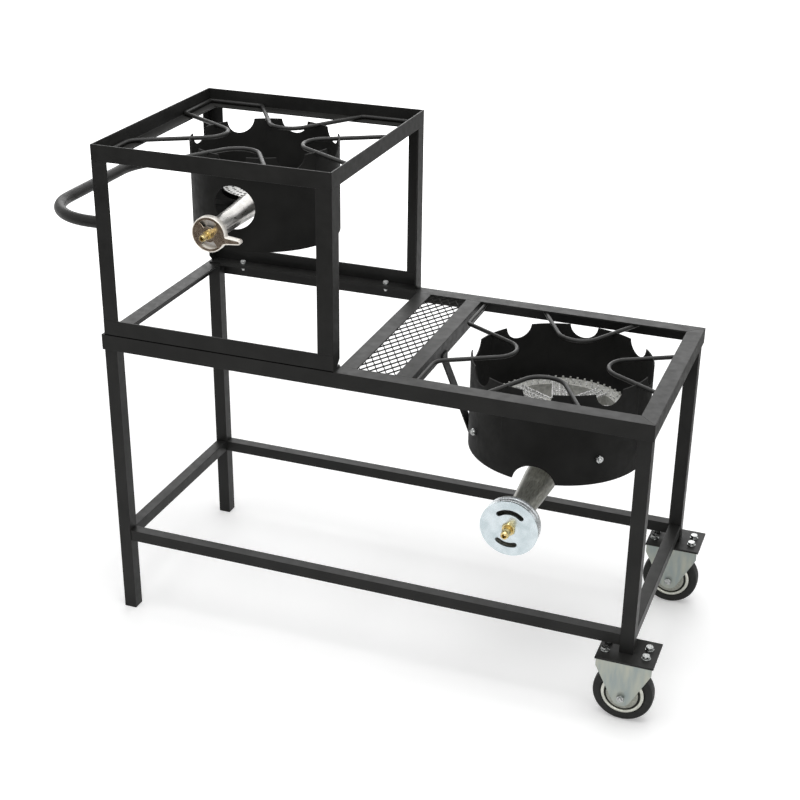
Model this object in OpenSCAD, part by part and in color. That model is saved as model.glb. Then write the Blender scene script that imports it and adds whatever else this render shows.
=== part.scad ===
// Two-burner outdoor gas stove: a welded angle-iron frame on two legs and two
// rigid casters, with a small jet burner in a raised stand at the left and a
// large ring burner at the right. Millimetres, +Z up, X along the length,
// Y from front to back. The origin is on the floor under the middle of the
// whole object.

/* [Base frame] */
// Length of the base frame
base_l = 1030; // [1010:5:1060]
// Width of the base frame
base_w = 450; // [446:1:454]
// Height of the base frame's top face above the floor
base_h = 590; // [560:5:640]
// Leaf width of the angle iron
angle_w = 30; // [28:1:32]
// Thickness of the angle iron
angle_t = 3; // [2.5:0.5:3.5]
// Side of the square leg tube
leg_side = 25; // [22:1:26]
// Side of the square tube of the lower rails
rail_side = 22; // [16:1:23]
// Wall thickness of the square tubes
tube_wall = 1.5; // [1:0.5:3]
// Height of the lower rails' top face
rail_top = 177; // [168:1:240]
// Gap between the stand and the left crossbar
crossbar_gap = 2; // [1:0.5:5]
// Distance between the outer faces of the two crossbars
crossbar_span = 133; // [120:1:134]

/* [Mesh panel] */
// Short pitch of the mesh diamonds, along the length of the stove
mesh_pitch_x = 16.8; // [12:0.2:24]
// Long pitch of the mesh diamonds, across the stove
mesh_pitch_y = 29; // [22:1:40]
// Width of a mesh strand
strand_w = 2; // [1.5:0.5:3]
// Thickness of the mesh sheet
mesh_t = 2; // [1:0.5:3]

/* [Stand] */
// Length of the stand
stand_l = 456; // [452:1:457]
// Distance from the base's left face to the stand's left face
stand_x = 7; // [4:1:7]
// Height of the stand above the base
stand_h = 358; // [330:2:400]
// Distance of the stand's bolts from the middle of its length
stand_bolt_x = 158; // [140:2:180]

/* [Handle] */
// Outer diameter of the handle tube
handle_d = 22; // [18:1:24]
// Wall thickness of the handle tube
handle_wall = 1.5; // [1:0.5:3]
// Height of the handle above the floor
handle_z = 800; // [700:10:860]
// Distance from the stand to the centre line of the handle's grip
handle_reach = 134.5; // [125:0.5:160]
// Distance of the handle's arms from the base's front and back faces
handle_inset = 17.5; // [15:0.5:18]
// Bend radius of the handle
handle_bend = 110; // [60:5:115]

/* [Pot rests] */
// Diameter of the rods that carry the pots
rod_d = 8; // [6:0.5:9]
// Bend radius at the tips of the rods
rod_tip_bend = 42; // [30:1:45]
// Bend radius beside the rims
rod_rim_bend = 8; // [6:1:12]

/* [Upper burner] */
// How far the upper burner sits behind the middle of the base
upper_shift = 2; // [-2:0.5:3]
// Outer radius of the upper wind drum
upper_drum_r = 137; // [132:1:140]
// Height of the upper wind drum
upper_drum_h = 173; // [160:1:175]
// Radius of the burner head
head_r = 82; // [70:1:90]
// Depth of the burner tube's centre line below the drum's rim
upper_tube_drop = 112; // [105:1:120]

/* [Lower burner] */
// Outer radius of the lower wind drum
lower_drum_r = 164; // [160:1:166]
// Height of the lower wind drum
lower_drum_h = 173; // [165:1:180]
// Outer radius of the ring casting
ring_r = 137; // [130:1:138]
// Width of the ring and of its arms
ring_band = 30; // [26:1:32]
// Depth of the ring casting's studs below the drum's rim
stud_drop = 95; // [85:1:100]
// Depth of the venturi's centre line below the ring casting
venturi_drop = 54; // [50:1:58]
// Radius of the air shutter disc
disc_r = 51; // [48:1:55]
// Sheet thickness of the wind drums
drum_t = 2; // [1.5:0.5:3]
// Radius of the half-round vents along the drums' rims
vent_r = 27; // [22:1:28]

/* [Casters] */
// Radius of the wheels
wheel_r = 55; // [50:1:56]
// Width of the tyres
wheel_w = 26; // [22:1:28]
// Radius of the bushings that the wheels turn on
bushing_r = 7; // [6:0.5:8]
// Running clearance of the wheels on their bushings
wheel_gap = 0.06; // [0.02:0.01:0.1]
// Length of the mounting plates
plate_l = 104; // [100:1:106]
// Width of the mounting plates
plate_w = 82; // [76:1:86]
// Height of the mounting plates' top face
plate_top = 141; // [138:1:150]

/* [Hidden] */
$fn = 96;
// Clearance between a piece and the slot or hole it sits in
seat_gap = 0.2;
// Overlap of cutting shapes past the faces they cut
cut = 1;
// How much thinner a rod and the handle are in their bends, and how far a
// straight bar runs over each end of a bend
rod_neck = 0.15;
handle_neck = 0.25;
bend_lap = 0.5;

// Leaves, mesh and tubes of the base
under_flange = base_h - angle_t;
crossbar_left_x = stand_x + stand_l + crossbar_gap;
crossbar_right_x = crossbar_left_x + crossbar_span;
crossbar_inner_r = crossbar_right_x - angle_w;
leg_x = [angle_t, base_l - angle_t - leg_side];
leg_y = [angle_t, base_w - angle_t - leg_side];
leg_mid_x = leg_x[1] + leg_side / 2;
leg_mid_y = [leg_y[0] + leg_side / 2, leg_y[1] + leg_side / 2];
rail_off = (leg_side - rail_side) / 2;

// Stand and pot rests
stand_top = base_h + stand_h;
rim_z = stand_top - angle_w;
stand_right = stand_x + stand_l;
stand_mid_x = stand_x + stand_l / 2;
stand_bolt_y = [angle_w / 2, base_w - angle_w / 2];
post_relief = 12;
rod_r = rod_d / 2;
rod_side_gap = 1;
rod_clear = angle_t + rod_r + rod_side_gap;
upper_x = stand_mid_x;
upper_y = base_w / 2 + upper_shift;
upper_rod_z = rim_z + angle_t + rod_r;
upper_rail = [stand_right - rod_clear - upper_x, base_w - rod_clear - upper_y];
upper_spread = 107;
upper_apex = 39;
upper_run = [upper_rail[0] + rod_r / 2, upper_rail[1] - rod_r - seat_gap];
lower_x = (crossbar_right_x + base_l) / 2;
lower_y = base_w / 2;
lower_rod_z = under_flange - rod_r;
lower_rail = [base_l - rod_clear - lower_x, base_w - rod_clear - lower_y];
lower_spread = 95;
lower_apex = 45;
lower_run_left = lower_x - crossbar_right_x - seat_gap;
lower_run_right = leg_x[1] - lower_x - seat_gap;
lower_side_run = lower_rail[1] - rod_r - seat_gap;
lower_leg_run = lower_y - leg_y[0] - leg_side - seat_gap;

// Wind drums
rim_over_rod = 2;
upper_rim_top = upper_rod_z + rim_over_rod;
lower_rim_top = lower_rod_z + rim_over_rod;
vent_rise = 2;
tube_hole_r = 40;
arch_drop = 8;
lower_arch_z = lower_rim_top - lower_drum_h - arch_drop;

// Upper burner
upper_tube_z = upper_rim_top - upper_tube_drop;
upper_hole_z = upper_tube_z + 19;
head_top = upper_tube_z + 22;
head_bottom = upper_tube_z - 22;
head_plate_t = 3;
head_wall = 3;
head_hub_r = 27;
head_floor = 8;
neck_r = [15, 17];
upper_cap_y = -8;
upper_cap_t = 1.4;
upper_cap_r = 32;
upper_cap_depth = 11;
upper_cup_y = upper_cap_y + upper_cap_t + 0.3;
upper_cup_depth = 8;
upper_shank_r = 5;
lever_tip = 60;
lever_drop = 8;
strap_w = 25;
strap_t = 3;

// Lower burner
stud_h = 5;
ring_top = lower_rim_top - stud_drop - stud_h;
ring_h = 37;
ring_bottom = ring_top - ring_h;
ring_wall = 5;
stud_r = 2;
stud_count = 60;
arm_count = 8;
arm_w = 29;
first_arm = 15;
hub_r = 40;
flange_r = 44;
flange_t = 6;
flange_bolt_r = 37;
venturi_z = ring_bottom - venturi_drop;
elbow_r = 45;
pipe_r = 29;
throat_r = 18;
pipe_wall = 5;
cone_end_y = 115;
disc_y = -79;
disc_t = 3.7;
cup_y = disc_y + disc_t + 0.3;
cup_depth = 21;
lower_shank_r = 6;
shutter_gap = 0.05;
slot_mid_r = 31;
slot_w = 9;
slot_end_step = 0.2;
bracket_angles = [-50, -140, 40, 130];
bracket_w = 22;
bracket_t = 3;
drum_bolt_z = ring_bottom + 14;
drum_strap_y = base_w / 2 - 23;
drum_strap_foot = 14;

// Casters
plate_t = 4;
plate_shift = 3;
fork_t = 2.5;
fork_half = 21.5;
fork_plate_l = 100;
fork_plate_w = 76;
fork_top = plate_top - plate_t;
fork_round = 18;
fork_shoulder_z = fork_top - 25;
caster_bolt = [36.5, 14.6];
axle_r = 4;
rim_r = 39.5;
cover_r = 30;
groove_w = 2;
wheel_hub_r = 12;
side_play = 0.3;

// Fasteners: shank radius, width across flats, head height, nut height
m6 = [3, 10, 4, 5];
m8 = [4, 13, 5.3, 6.5];
washer_t = 1.5;

// Reach of the whole object, which sets the origin
reach_left = stand_x - handle_reach - handle_d / 2;
reach_right = leg_mid_x + plate_shift + plate_l / 2;
nozzle_tip_y = -106;
reach_back = leg_mid_y[1] + plate_w / 2;
origin_x = (reach_left + reach_right) / 2;
origin_y = (nozzle_tip_y + reach_back) / 2;

// Moves a shape drawn from the base's front left corner into the object's frame
module from_corner() {
    translate([-origin_x, -origin_y, 0]) children();
}

function unit(v) = v / norm(v);
function corner_half(p, i) = acos(unit(p[i - 1] - p[i]) * unit(p[i + 1] - p[i])) / 2;
function cut_back(p, bends, i) =
    (i == 0 || i == len(p) - 1) ? 0 : bends[i - 1] / tan(corner_half(p, i));

// Round bar of radius r along the flat path p, with a bend radius for each corner;
// its bends are thinner by neck
module bent_bar(p, bends, r, neck) {
    last = len(p) - 1;
    for (i = [0 : last - 1]) {
        dir = unit(p[i + 1] - p[i]);
        from = p[i] + dir * (cut_back(p, bends, i) - (i > 0 ? bend_lap : 0));
        to = p[i + 1] - dir * (cut_back(p, bends, i + 1) - (i + 1 < last ? bend_lap : 0));
        translate([from[0], from[1], 0])
            rotate([0, 90, atan2(dir[1], dir[0])])
                cylinder(h = norm(to - from), r = r);
    }
    for (i = [1 : last - 1]) {
        in = unit(p[i] - p[i - 1]);
        out = unit(p[i + 1] - p[i]);
        half = corner_half(p, i);
        centre = p[i] + unit(out - in) * bends[i - 1] / sin(half);
        left_turn = cross(in, out) > 0;
        start = p[i] + (left_turn ? -in : out) * cut_back(p, bends, i) - centre;
        translate([centre[0], centre[1], 0])
            rotate([0, 0, atan2(start[1], start[0])])
                rotate_extrude(angle = 180 - 2 * half)
                    translate([bends[i - 1], 0]) circle(r = r - neck);
    }
}

// Angle iron along X with mitred ends, outer face at y = 0, upright leaf from
// z = 0 to angle_w and flat leaf at height flat_z
module mitred_angle(l, flat_z) {
    linear_extrude(angle_w)
        polygon([[0, 0], [l, 0], [l - angle_t, angle_t], [angle_t, angle_t]]);
    translate([0, 0, flat_z]) linear_extrude(angle_t)
        polygon([[0, 0], [l, 0], [l - angle_w, angle_w], [angle_w, angle_w]]);
}

// One side of a mitred angle-iron frame l long and w wide; side is 0 front,
// 1 right, 2 back, 3 left
module frame_side(side, l, w, flat_z) {
    corner = [[0, 0], [l, 0], [l, w], [0, w]][side];
    translate([corner[0], corner[1], 0]) rotate([0, 0, 90 * side])
        mitred_angle(side % 2 == 0 ? l : w, flat_z);
}

module square_tube(side, h) {
    difference() {
        cube([side, side, h]);
        translate([tube_wall, tube_wall, -cut])
            cube([side - 2 * tube_wall, side - 2 * tube_wall, h + 2 * cut]);
    }
}

// Hex head or nut standing on z = 0
module hex(af, h) {
    cylinder(h = h, r = af / 2 / cos(30), $fn = 6);
}

// Bolt with its head standing on z = 0 and its shank running down
module bolt(size, shank) {
    hex(size[1], size[2]);
    translate([0, 0, -shank]) cylinder(h = shank + cut, r = size[0], $fn = 32);
}

module nut(size) {
    difference() {
        hex(size[1], size[3]);
        translate([0, 0, -cut]) cylinder(h = size[3] + 2 * cut, r = size[0], $fn = 32);
    }
}

module washer(size) {
    difference() {
        cylinder(h = washer_t, r = size[1] * 0.62, $fn = 48);
        translate([0, 0, -cut]) cylinder(h = washer_t + 2 * cut, r = size[0], $fn = 32);
    }
}

// Places of the bolts that hold the stand on the base
module at_stand_bolts(z) {
    for (side = [-1, 1], y = stand_bolt_y)
        translate([stand_mid_x + side * stand_bolt_x, y, z]) children();
}

// Places of the bolts that hold the casters
module at_caster_bolts(z) {
    for (y = leg_mid_y, sx = [-1, 1], sy = [-1, 1])
        translate([leg_mid_x + sx * caster_bolt[0], y + sy * caster_bolt[1], z]) children();
}

// Places of the brackets in the lower drum, X outwards
module at_brackets() {
    for (a = bracket_angles)
        translate([lower_x, lower_y, 0]) rotate([0, 0, a]) children();
}

// Base frame, welded from mitred angle iron with its flat leaf on top
module base_side(side) {
    color("#2a2a29") from_corner() translate([0, 0, base_h - angle_w]) difference() {
        frame_side(side, base_l, base_w, angle_w - angle_t);
        translate([0, 0, -(base_h - angle_w)]) at_stand_bolts(under_flange - cut)
            cylinder(h = angle_t + 2 * cut, r = m6[0] + seat_gap, $fn = 32);
    }
}

// Crossbar of angle iron, its flat leaf between the flanges and its upright
// leaf running on below them; x is the left edge, web_x the upright leaf's
module crossbar(x, web_x) {
    color("#2c2c2b") from_corner() {
        translate([x, angle_w, under_flange])
            cube([angle_w, base_w - 2 * angle_w, angle_t]);
        translate([web_x, angle_t, base_h - angle_w])
            cube([angle_t, base_w - 2 * angle_t, angle_w - angle_t]);
    }
}

// Steel mesh under the flanges between the crossbars, with diamond openings
module mesh_panel() {
    x0 = crossbar_left_x + angle_t;
    x1 = crossbar_right_x - angle_t;
    y0 = angle_t;
    y1 = base_w - angle_t;
    dx = mesh_pitch_x / 2;
    dy = mesh_pitch_y / 2;
    slope = norm([dx, dy]);
    hx = dx - strand_w / 2 * slope / dy;
    hy = dy - strand_w / 2 * slope / dx;
    cols = floor((x1 - x0) / mesh_pitch_x / 2 - 0.4);
    rows = floor((y1 - y0) / mesh_pitch_y / 2 - 0.4);
    color("#232323") from_corner()
        translate([(x0 + x1) / 2, (y0 + y1) / 2, under_flange - mesh_t])
            linear_extrude(mesh_t) difference() {
                square([x1 - x0, y1 - y0], center = true);
                for (i = [-cols : cols], j = [-rows : rows])
                    translate([i * mesh_pitch_x, j * mesh_pitch_y])
                        polygon([[hx, 0], [0, hy], [-hx, 0], [0, -hy]]);
                for (i = [-cols : cols - 1], j = [-rows : rows - 1])
                    translate([(i + 0.5) * mesh_pitch_x, (j + 0.5) * mesh_pitch_y])
                        polygon([[hx, 0], [0, hy], [-hx, 0], [0, -hy]]);
            }
}

module leg(x, y, foot_z) {
    color("#2b2b2a") from_corner()
        translate([x, y, foot_z]) square_tube(leg_side, under_flange - foot_z);
}

// Front and back lower rails, along the length
module lower_rails_long() {
    x0 = leg_x[0] + leg_side;
    color("#2d2d2c") from_corner() for (y = leg_y)
        translate([x0, y + rail_off, rail_top - rail_side])
            translate([0, 0, rail_side]) rotate([0, 90, 0])
                square_tube(rail_side, leg_x[1] - x0);
}

// Left and right lower rails, across the width
module lower_rails_short() {
    y0 = leg_y[0] + leg_side;
    color("#2d2d2c") from_corner() for (x = leg_x)
        translate([x + rail_off, y0, rail_top]) rotate([-90, 0, 0])
            square_tube(rail_side, leg_y[1] - y0);
}

// Steel plates welded under the right legs to carry the casters
module caster_mount_plates() {
    color("#262626") from_corner() difference() {
        for (y = leg_mid_y)
            translate([leg_mid_x + plate_shift - plate_l / 2, y - plate_w / 2, fork_top])
                cube([plate_l, plate_w, plate_t]);
        at_caster_bolts(fork_top - cut)
            cylinder(h = plate_t + 2 * cut, r = m8[0] + seat_gap, $fn = 32);
    }
}

// Stand rim, mitred angle iron with its flat leaf below to carry the rods
module stand_rim(side) {
    color("#2a2a29") from_corner() translate([stand_x, 0, rim_z])
        frame_side(side, stand_l, base_w, 0);
}

// Corner post of the stand; its side leaf runs down beside the foot rail and
// has a relief cut at the bottom
module stand_post(right, back) {
    foot_top = base_h + angle_w;
    color("#292928") from_corner()
        translate([right ? stand_right : stand_x, back ? base_w : 0, 0])
            mirror([right ? 1 : 0, 0, 0]) mirror([0, back ? 1 : 0, 0]) {
                translate([0, 0, foot_top]) linear_extrude(rim_z - foot_top)
                    polygon([[0, 0], [angle_w, 0], [angle_w, angle_t],
                             [angle_t, angle_t], [angle_t, angle_w], [0, angle_w]]);
                translate([0, 0, base_h + angle_t]) rotate([90, 0, 90])
                    linear_extrude(angle_t)
                        polygon([[angle_t, 0], [angle_w - post_relief, 0],
                                 [angle_w, post_relief], [angle_w, angle_w - angle_t],
                                 [angle_t, angle_w - angle_t]]);
            }
}

// Foot rail of the stand, bolted through the base's flange
module stand_foot(back) {
    color("#292928") from_corner() difference() {
        translate([stand_x, back ? base_w : 0, base_h]) mirror([0, back ? 1 : 0, 0]) {
            cube([stand_l, angle_w, angle_t]);
            cube([stand_l, angle_t, angle_w]);
        }
        at_stand_bolts(base_h - cut)
            cylinder(h = angle_t + 2 * cut, r = m6[0] + seat_gap, $fn = 32);
    }
}

// Tow handle: a tube bent to a flat U and welded to the left posts
module handle() {
    arm_y = [handle_inset, base_w - handle_inset];
    function path(extra) = [[stand_x + extra, arm_y[0]], [stand_x - handle_reach, arm_y[0]],
                            [stand_x - handle_reach, arm_y[1]], [stand_x + extra, arm_y[1]]];
    color("#2a2a2a") from_corner() translate([0, 0, handle_z]) difference() {
        bent_bar(path(0), [handle_bend, handle_bend], handle_d / 2, handle_neck);
        bent_bar(path(cut), [handle_bend, handle_bend], handle_d / 2 - handle_wall, handle_neck);
    }
}

// Pot-rest rod pointing along +X from the centre: it runs beside the rim, turns
// in to a rounded tip and back out to the rim
module rest_rod(rail, spread, apex, run_a, run_b) {
    bent_bar([[rail, -run_a], [rail, -spread], [apex, 0], [rail, spread], [rail, run_b]],
             [rod_rim_bend, rod_tip_bend, rod_rim_bend], rod_r, rod_neck);
}

// Rod of the upper rest; turn is the side's angle
module upper_rod(turn) {
    side = turn % 180 == 0 ? 0 : 1;
    run = upper_run[1 - side];
    color("#3a3a39") from_corner() translate([upper_x, upper_y, upper_rod_z])
        rotate([0, 0, turn]) rest_rod(upper_rail[side], upper_spread, upper_apex, run, run);
}

// Rod of the lower rest, welded under the flanges between crossbar and legs
module lower_rod(turn) {
    side = turn % 180 == 0 ? 0 : 1;
    run_a = [lower_leg_run, lower_run_right, lower_side_run, lower_run_left][turn / 90];
    run_b = [lower_leg_run, lower_run_left, lower_side_run, lower_run_right][turn / 90];
    color("#3a3a39") from_corner() translate([lower_x, lower_y, lower_rod_z])
        rotate([0, 0, turn]) rest_rod(lower_rail[side], lower_spread, lower_apex, run_a, run_b);
}

// Slots where the rods cross the rim of a drum whose wall has mid radius r
module rod_slots(r, rail, spread, apex, rod_z) {
    for (turn = [0 : 90 : 270], s = [-1, 1]) {
        side = turn % 180 == 0 ? 0 : 1;
        p = [rail[side], s * spread];
        d = unit([apex, 0] - p);
        b = p * d;
        hit = p + d * (-b - sqrt(b * b - p * p + r * r));
        rotate([0, 0, turn]) translate([hit[0], hit[1], rod_z - rod_r - seat_gap])
            rotate([0, 0, atan2(d[1], d[0])])
                translate([-8, -rod_r - seat_gap, 0]) cube([16, rod_d + 2 * seat_gap, 30]);
    }
}

// Open sheet drum with eight half-round vents in its rim
module wind_drum(r, h, top, rail, spread, apex, rod_z) {
    difference() {
        translate([0, 0, top - h]) cylinder(h = h, r = r, $fn = 180);
        translate([0, 0, top - h - cut]) cylinder(h = h + 2 * cut, r = r - drum_t, $fn = 180);
        for (a = [0 : 45 : 315])
            translate([0, 0, top + vent_rise]) rotate([0, 90, a])
                translate([0, 0, r / 2]) cylinder(h = r, r = vent_r);
        rod_slots(r - drum_t / 2, rail, spread, apex, rod_z);
    }
}

module upper_drum() {
    color("#222222") from_corner() translate([upper_x, upper_y, 0]) difference() {
        wind_drum(upper_drum_r, upper_drum_h, upper_rim_top, upper_rail, upper_spread,
                  upper_apex, upper_rod_z);
        translate([0, -upper_drum_r / 2, upper_hole_z]) rotate([90, 0, 0])
            cylinder(h = upper_drum_r, r = tube_hole_r);
    }
}

module lower_drum() {
    color("#222222") from_corner() difference() {
        translate([lower_x, lower_y, 0]) difference() {
            wind_drum(lower_drum_r, lower_drum_h, lower_rim_top, lower_rail, lower_spread,
                      lower_apex, lower_rod_z);
            translate([0, -lower_drum_r / 2, lower_arch_z]) rotate([90, 0, 0])
                cylinder(h = lower_drum_r, r = tube_hole_r);
        }
        at_brackets() translate([lower_drum_r / 2, 0, drum_bolt_z]) rotate([0, 90, 0])
            cylinder(h = lower_drum_r, r = m8[0] + seat_gap, $fn = 32);
    }
}

// Ring sector between radii r0 and r1 from angle a0 to a1, under 180 degrees
module sector(r0, r1, a0, a1) {
    far = r1 * 3;
    intersection() {
        difference() {
            circle(r = r1);
            circle(r = r0);
        }
        polygon([[0, 0], far * [cos(a0), sin(a0)],
                 far * [cos((a0 + a1) / 2), sin((a0 + a1) / 2)], far * [cos(a1), sin(a1)]]);
    }
}

// Curved slot with round ends, a little narrower than the slot
module curved_slot(r, w, a0, a1) {
    sector(r - w / 2, r + w / 2, a0, a1);
    for (a = [a0, a1])
        translate(r * [cos(a), sin(a)]) circle(r = w / 2 - slot_end_step, $fn = 48);
}

// Draws a flat shape in the XZ plane, centred on a burner's axis, from y0 to y1
module facing_front(x, z, y0, y1) {
    translate([x, y1, z]) rotate([90, 0, 0]) linear_extrude(y1 - y0) children();
}

// Air cup at the front of a mixing tube: a shallow cup with a bar across it that
// holds the gas nozzle
module air_cup(x, z, y, r, depth, wall, bar_w, bar_t, shank_r) {
    facing_front(x, z, y + depth - wall, y + depth) circle(r = r);
    facing_front(x, z, y, y + depth) difference() {
        circle(r = r);
        circle(r = r - wall);
    }
    facing_front(x, z, y + cut, y + cut + bar_t) difference() {
        square([2 * r - wall, bar_w], center = true);
        circle(r = shank_r + shutter_gap);
    }
}

// Cast head with its mixing tube: a shallow funnel, a tube to the front and an
// air cup at its end
module upper_burner_body() {
    rim_w = 2.8;
    ledge_z = head_top - head_plate_t - 1;
    chamber_r = head_r - head_wall - rim_w;
    tube_y = upper_cup_y + upper_cup_depth;
    color("#b4b6b8") from_corner() {
        difference() {
            union() {
                translate([upper_x, upper_y, 0]) rotate_extrude()
                    polygon([[0, head_bottom], [head_hub_r - 2, head_bottom],
                             [head_hub_r, head_bottom + 6], [head_r, head_top - 9],
                             [head_r, head_top], [0, head_top]]);
                translate([upper_x, tube_y - cut, upper_tube_z]) rotate([-90, 0, 0])
                    cylinder(h = upper_y - tube_y + cut, r1 = neck_r[0], r2 = neck_r[1]);
                air_cup(upper_x, upper_tube_z, upper_cup_y, upper_cap_r - 2.2,
                        upper_cup_depth, 2.5, 13, 3, upper_shank_r);
            }
            translate([upper_x, upper_y, 0]) rotate_extrude()
                polygon([[0, head_bottom + head_floor],
                         [head_hub_r - head_wall, head_bottom + head_floor],
                         [chamber_r, head_top - 8], [chamber_r, ledge_z],
                         [head_r - rim_w, ledge_z], [head_r - rim_w, head_top + cut],
                         [0, head_top + cut]]);
            translate([upper_x, tube_y - 4, upper_tube_z]) rotate([-90, 0, 0])
                cylinder(h = upper_y - tube_y + 4, r1 = neck_r[0] - head_wall,
                         r2 = neck_r[1] - head_wall);
            translate([upper_x, upper_y, head_bottom - cut])
                cylinder(h = head_floor, r = m6[0] + shutter_gap, $fn = 32);
        }
    }
}

// Pressed plate with rings of flame holes, set into the head
module upper_burner_plate() {
    plate_r = head_r - 2.8 - seat_gap;
    color("#c9cacb") from_corner()
        translate([upper_x, upper_y, head_top - head_plate_t - 1]) difference() {
            cylinder(h = head_plate_t, r = plate_r);
            for (ring = [[73, 46], [61, 38], [49, 30], [37, 22]], i = [0 : ring[1] - 1])
                rotate([0, 0, i * 360 / ring[1]]) translate([ring[0], 0, -cut])
                    cylinder(h = head_plate_t + 2 * cut, r = 2.8, $fn = 24);
        }
}

// Flat bar welded across the upper drum to carry the head
module upper_burner_strap() {
    inner_r = upper_drum_r - drum_t;
    half_l = sqrt(inner_r * inner_r - strap_w * strap_w / 4) - seat_gap;
    color("#242424") from_corner()
        translate([upper_x, upper_y, head_bottom - strap_t]) difference() {
            translate([-half_l, -strap_w / 2, 0]) cube([2 * half_l, strap_w, strap_t]);
            translate([0, 0, -cut])
                cylinder(h = strap_t + 2 * cut, r = m6[0] + seat_gap, $fn = 32);
        }
}

// Outline of the upper air shutter: a round cap with a tapered lever
module shutter_outline(inset) {
    root = 10 - inset;
    tip = 4 - inset;
    circle(r = upper_cap_r - inset);
    polygon([[0, root - lever_drop], [lever_tip - 4, tip - lever_drop],
             [lever_tip - 4, -tip - lever_drop], [0, -root - lever_drop]]);
    translate([lever_tip - 4, -lever_drop]) circle(r = tip, $fn = 32);
}

// Pressed cap with a folded rim, turning on the gas nozzle to set the air
module upper_air_shutter() {
    back_y = upper_cap_y + upper_cap_t;
    color("#c4c0ba") from_corner() {
        facing_front(upper_x, upper_tube_z, upper_cap_y, back_y) difference() {
            shutter_outline(0);
            circle(r = upper_shank_r + shutter_gap);
            sector(14, 26, 52, 128);
            sector(14, 26, 232, 308);
        }
        facing_front(upper_x, upper_tube_z, back_y, upper_cap_y + upper_cap_depth)
            difference() {
                shutter_outline(0);
                shutter_outline(upper_cap_t);
            }
    }
}

// Brass nozzle: shank through shutter and face, hexagon, collar and hose end
module gas_nozzle(x, z, shank_r, shank_y, seat_y, hex_af, hex_l, tip_y, hose_r) {
    bore_r = 2;
    collar_l = 4;
    collar_y = seat_y - hex_l;
    translate([x, 0, z]) rotate([90, 0, 0]) difference() {
        union() {
            translate([0, 0, -shank_y]) cylinder(h = shank_y - seat_y, r = shank_r);
            translate([0, 0, -seat_y]) hex(hex_af, hex_l);
            translate([0, 0, -collar_y]) cylinder(h = collar_l, r = hex_af / 2 - 1);
            translate([0, 0, -collar_y + collar_l])
                cylinder(h = collar_y - collar_l - tip_y, r = hose_r);
        }
        translate([0, 0, -shank_y - cut])
            cylinder(h = shank_y - tip_y + 2 * cut, r = bore_r, $fn = 32);
    }
}

module upper_gas_nozzle() {
    color("#c9a24a") from_corner()
        gas_nozzle(upper_x, upper_tube_z, upper_shank_r, upper_cup_y + 12,
                   upper_cap_y - seat_gap, 14, 8, -33, 5);
}

module lower_gas_nozzle() {
    color("#c9a24a") from_corner()
        gas_nozzle(lower_x, venturi_z, lower_shank_r, cup_y + 20,
                   disc_y - seat_gap, 19, 11, nozzle_tip_y, 7);
}

// Rings and arms in plan, inset by a wall where they are hollow
module star_plan(inset) {
    difference() {
        circle(r = ring_r - inset);
        circle(r = ring_r - ring_band + inset);
    }
    for (i = [0 : arm_count / 2 - 1])
        rotate([0, 0, first_arm + i * 360 / arm_count])
            square([2 * (ring_r - ring_band / 2), arm_w - 2 * inset], center = true);
    circle(r = hub_r - inset);
}

// Cast ring with eight hollow arms, a hub and a crown of studs between the jets
module lower_ring_casting() {
    color("#8d8d8a") from_corner() translate([lower_x, lower_y, 0]) {
        difference() {
            translate([0, 0, ring_bottom]) linear_extrude(ring_top - ring_bottom)
                star_plan(0);
            translate([0, 0, ring_bottom + ring_wall])
                linear_extrude(ring_top - ring_bottom - 2 * ring_wall) star_plan(ring_wall);
            translate([0, 0, ring_bottom - cut])
                cylinder(h = ring_wall + 2 * cut, r = pipe_r - pipe_wall);
            for (turn = [0, 180])
                rotate([0, 0, first_arm + turn]) translate([flange_bolt_r, 0, ring_bottom - cut])
                    cylinder(h = ring_wall + 2 * cut, r = m6[0] + shutter_gap, $fn = 32);
        }
        for (i = [0 : stud_count - 1])
            rotate([0, 0, i * 360 / stud_count]) translate([ring_r - 4, 0, ring_top - cut])
                cylinder(h = stud_h + cut, r = stud_r, $fn = 16);
    }
}

// Inside or outside of the mixing pipe: a cone to the back, a bend and a riser
module pipe_path(inset, over) {
    rise_z = venturi_z + elbow_r;
    bend_y = lower_y - elbow_r;
    cone_y = cup_y + cup_depth - pipe_wall - over;
    translate([lower_x, cone_y, venturi_z]) rotate([-90, 0, 0])
        cylinder(h = cone_end_y - cone_y, r1 = throat_r - inset, r2 = pipe_r - inset);
    translate([lower_x, cone_end_y, venturi_z]) rotate([-90, 0, 0])
        cylinder(h = bend_y - cone_end_y, r = pipe_r - inset);
    translate([lower_x, bend_y, rise_z]) rotate([0, 90, 0])
        rotate_extrude(angle = 90) translate([elbow_r, 0]) circle(r = pipe_r - inset);
    translate([lower_x, lower_y, rise_z])
        cylinder(h = ring_bottom - rise_z + over, r = pipe_r - inset);
}

// Places of the screws that hold the venturi under the hub
module at_flange_screws(z) {
    for (turn = [0, 180])
        translate([lower_x, lower_y, z]) rotate([0, 0, first_arm + turn])
            translate([flange_bolt_r, 0, 0]) children();
}

// Cast venturi: an air cup at the front, a cone, a bend and a flange under the hub
module lower_venturi() {
    color("#6f6f6b") from_corner() difference() {
        union() {
            pipe_path(0, 0);
            air_cup(lower_x, venturi_z, cup_y, disc_r - 1.5, cup_depth, pipe_wall, 16, 6,
                    lower_shank_r);
            translate([lower_x, lower_y, ring_bottom - flange_t])
                cylinder(h = flange_t, r = flange_r);
        }
        pipe_path(pipe_wall, cut);
        at_flange_screws(ring_bottom - flange_t - cut)
            cylinder(h = flange_t + 2 * cut, r = m6[0] + seat_gap, $fn = 32);
    }
}

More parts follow.
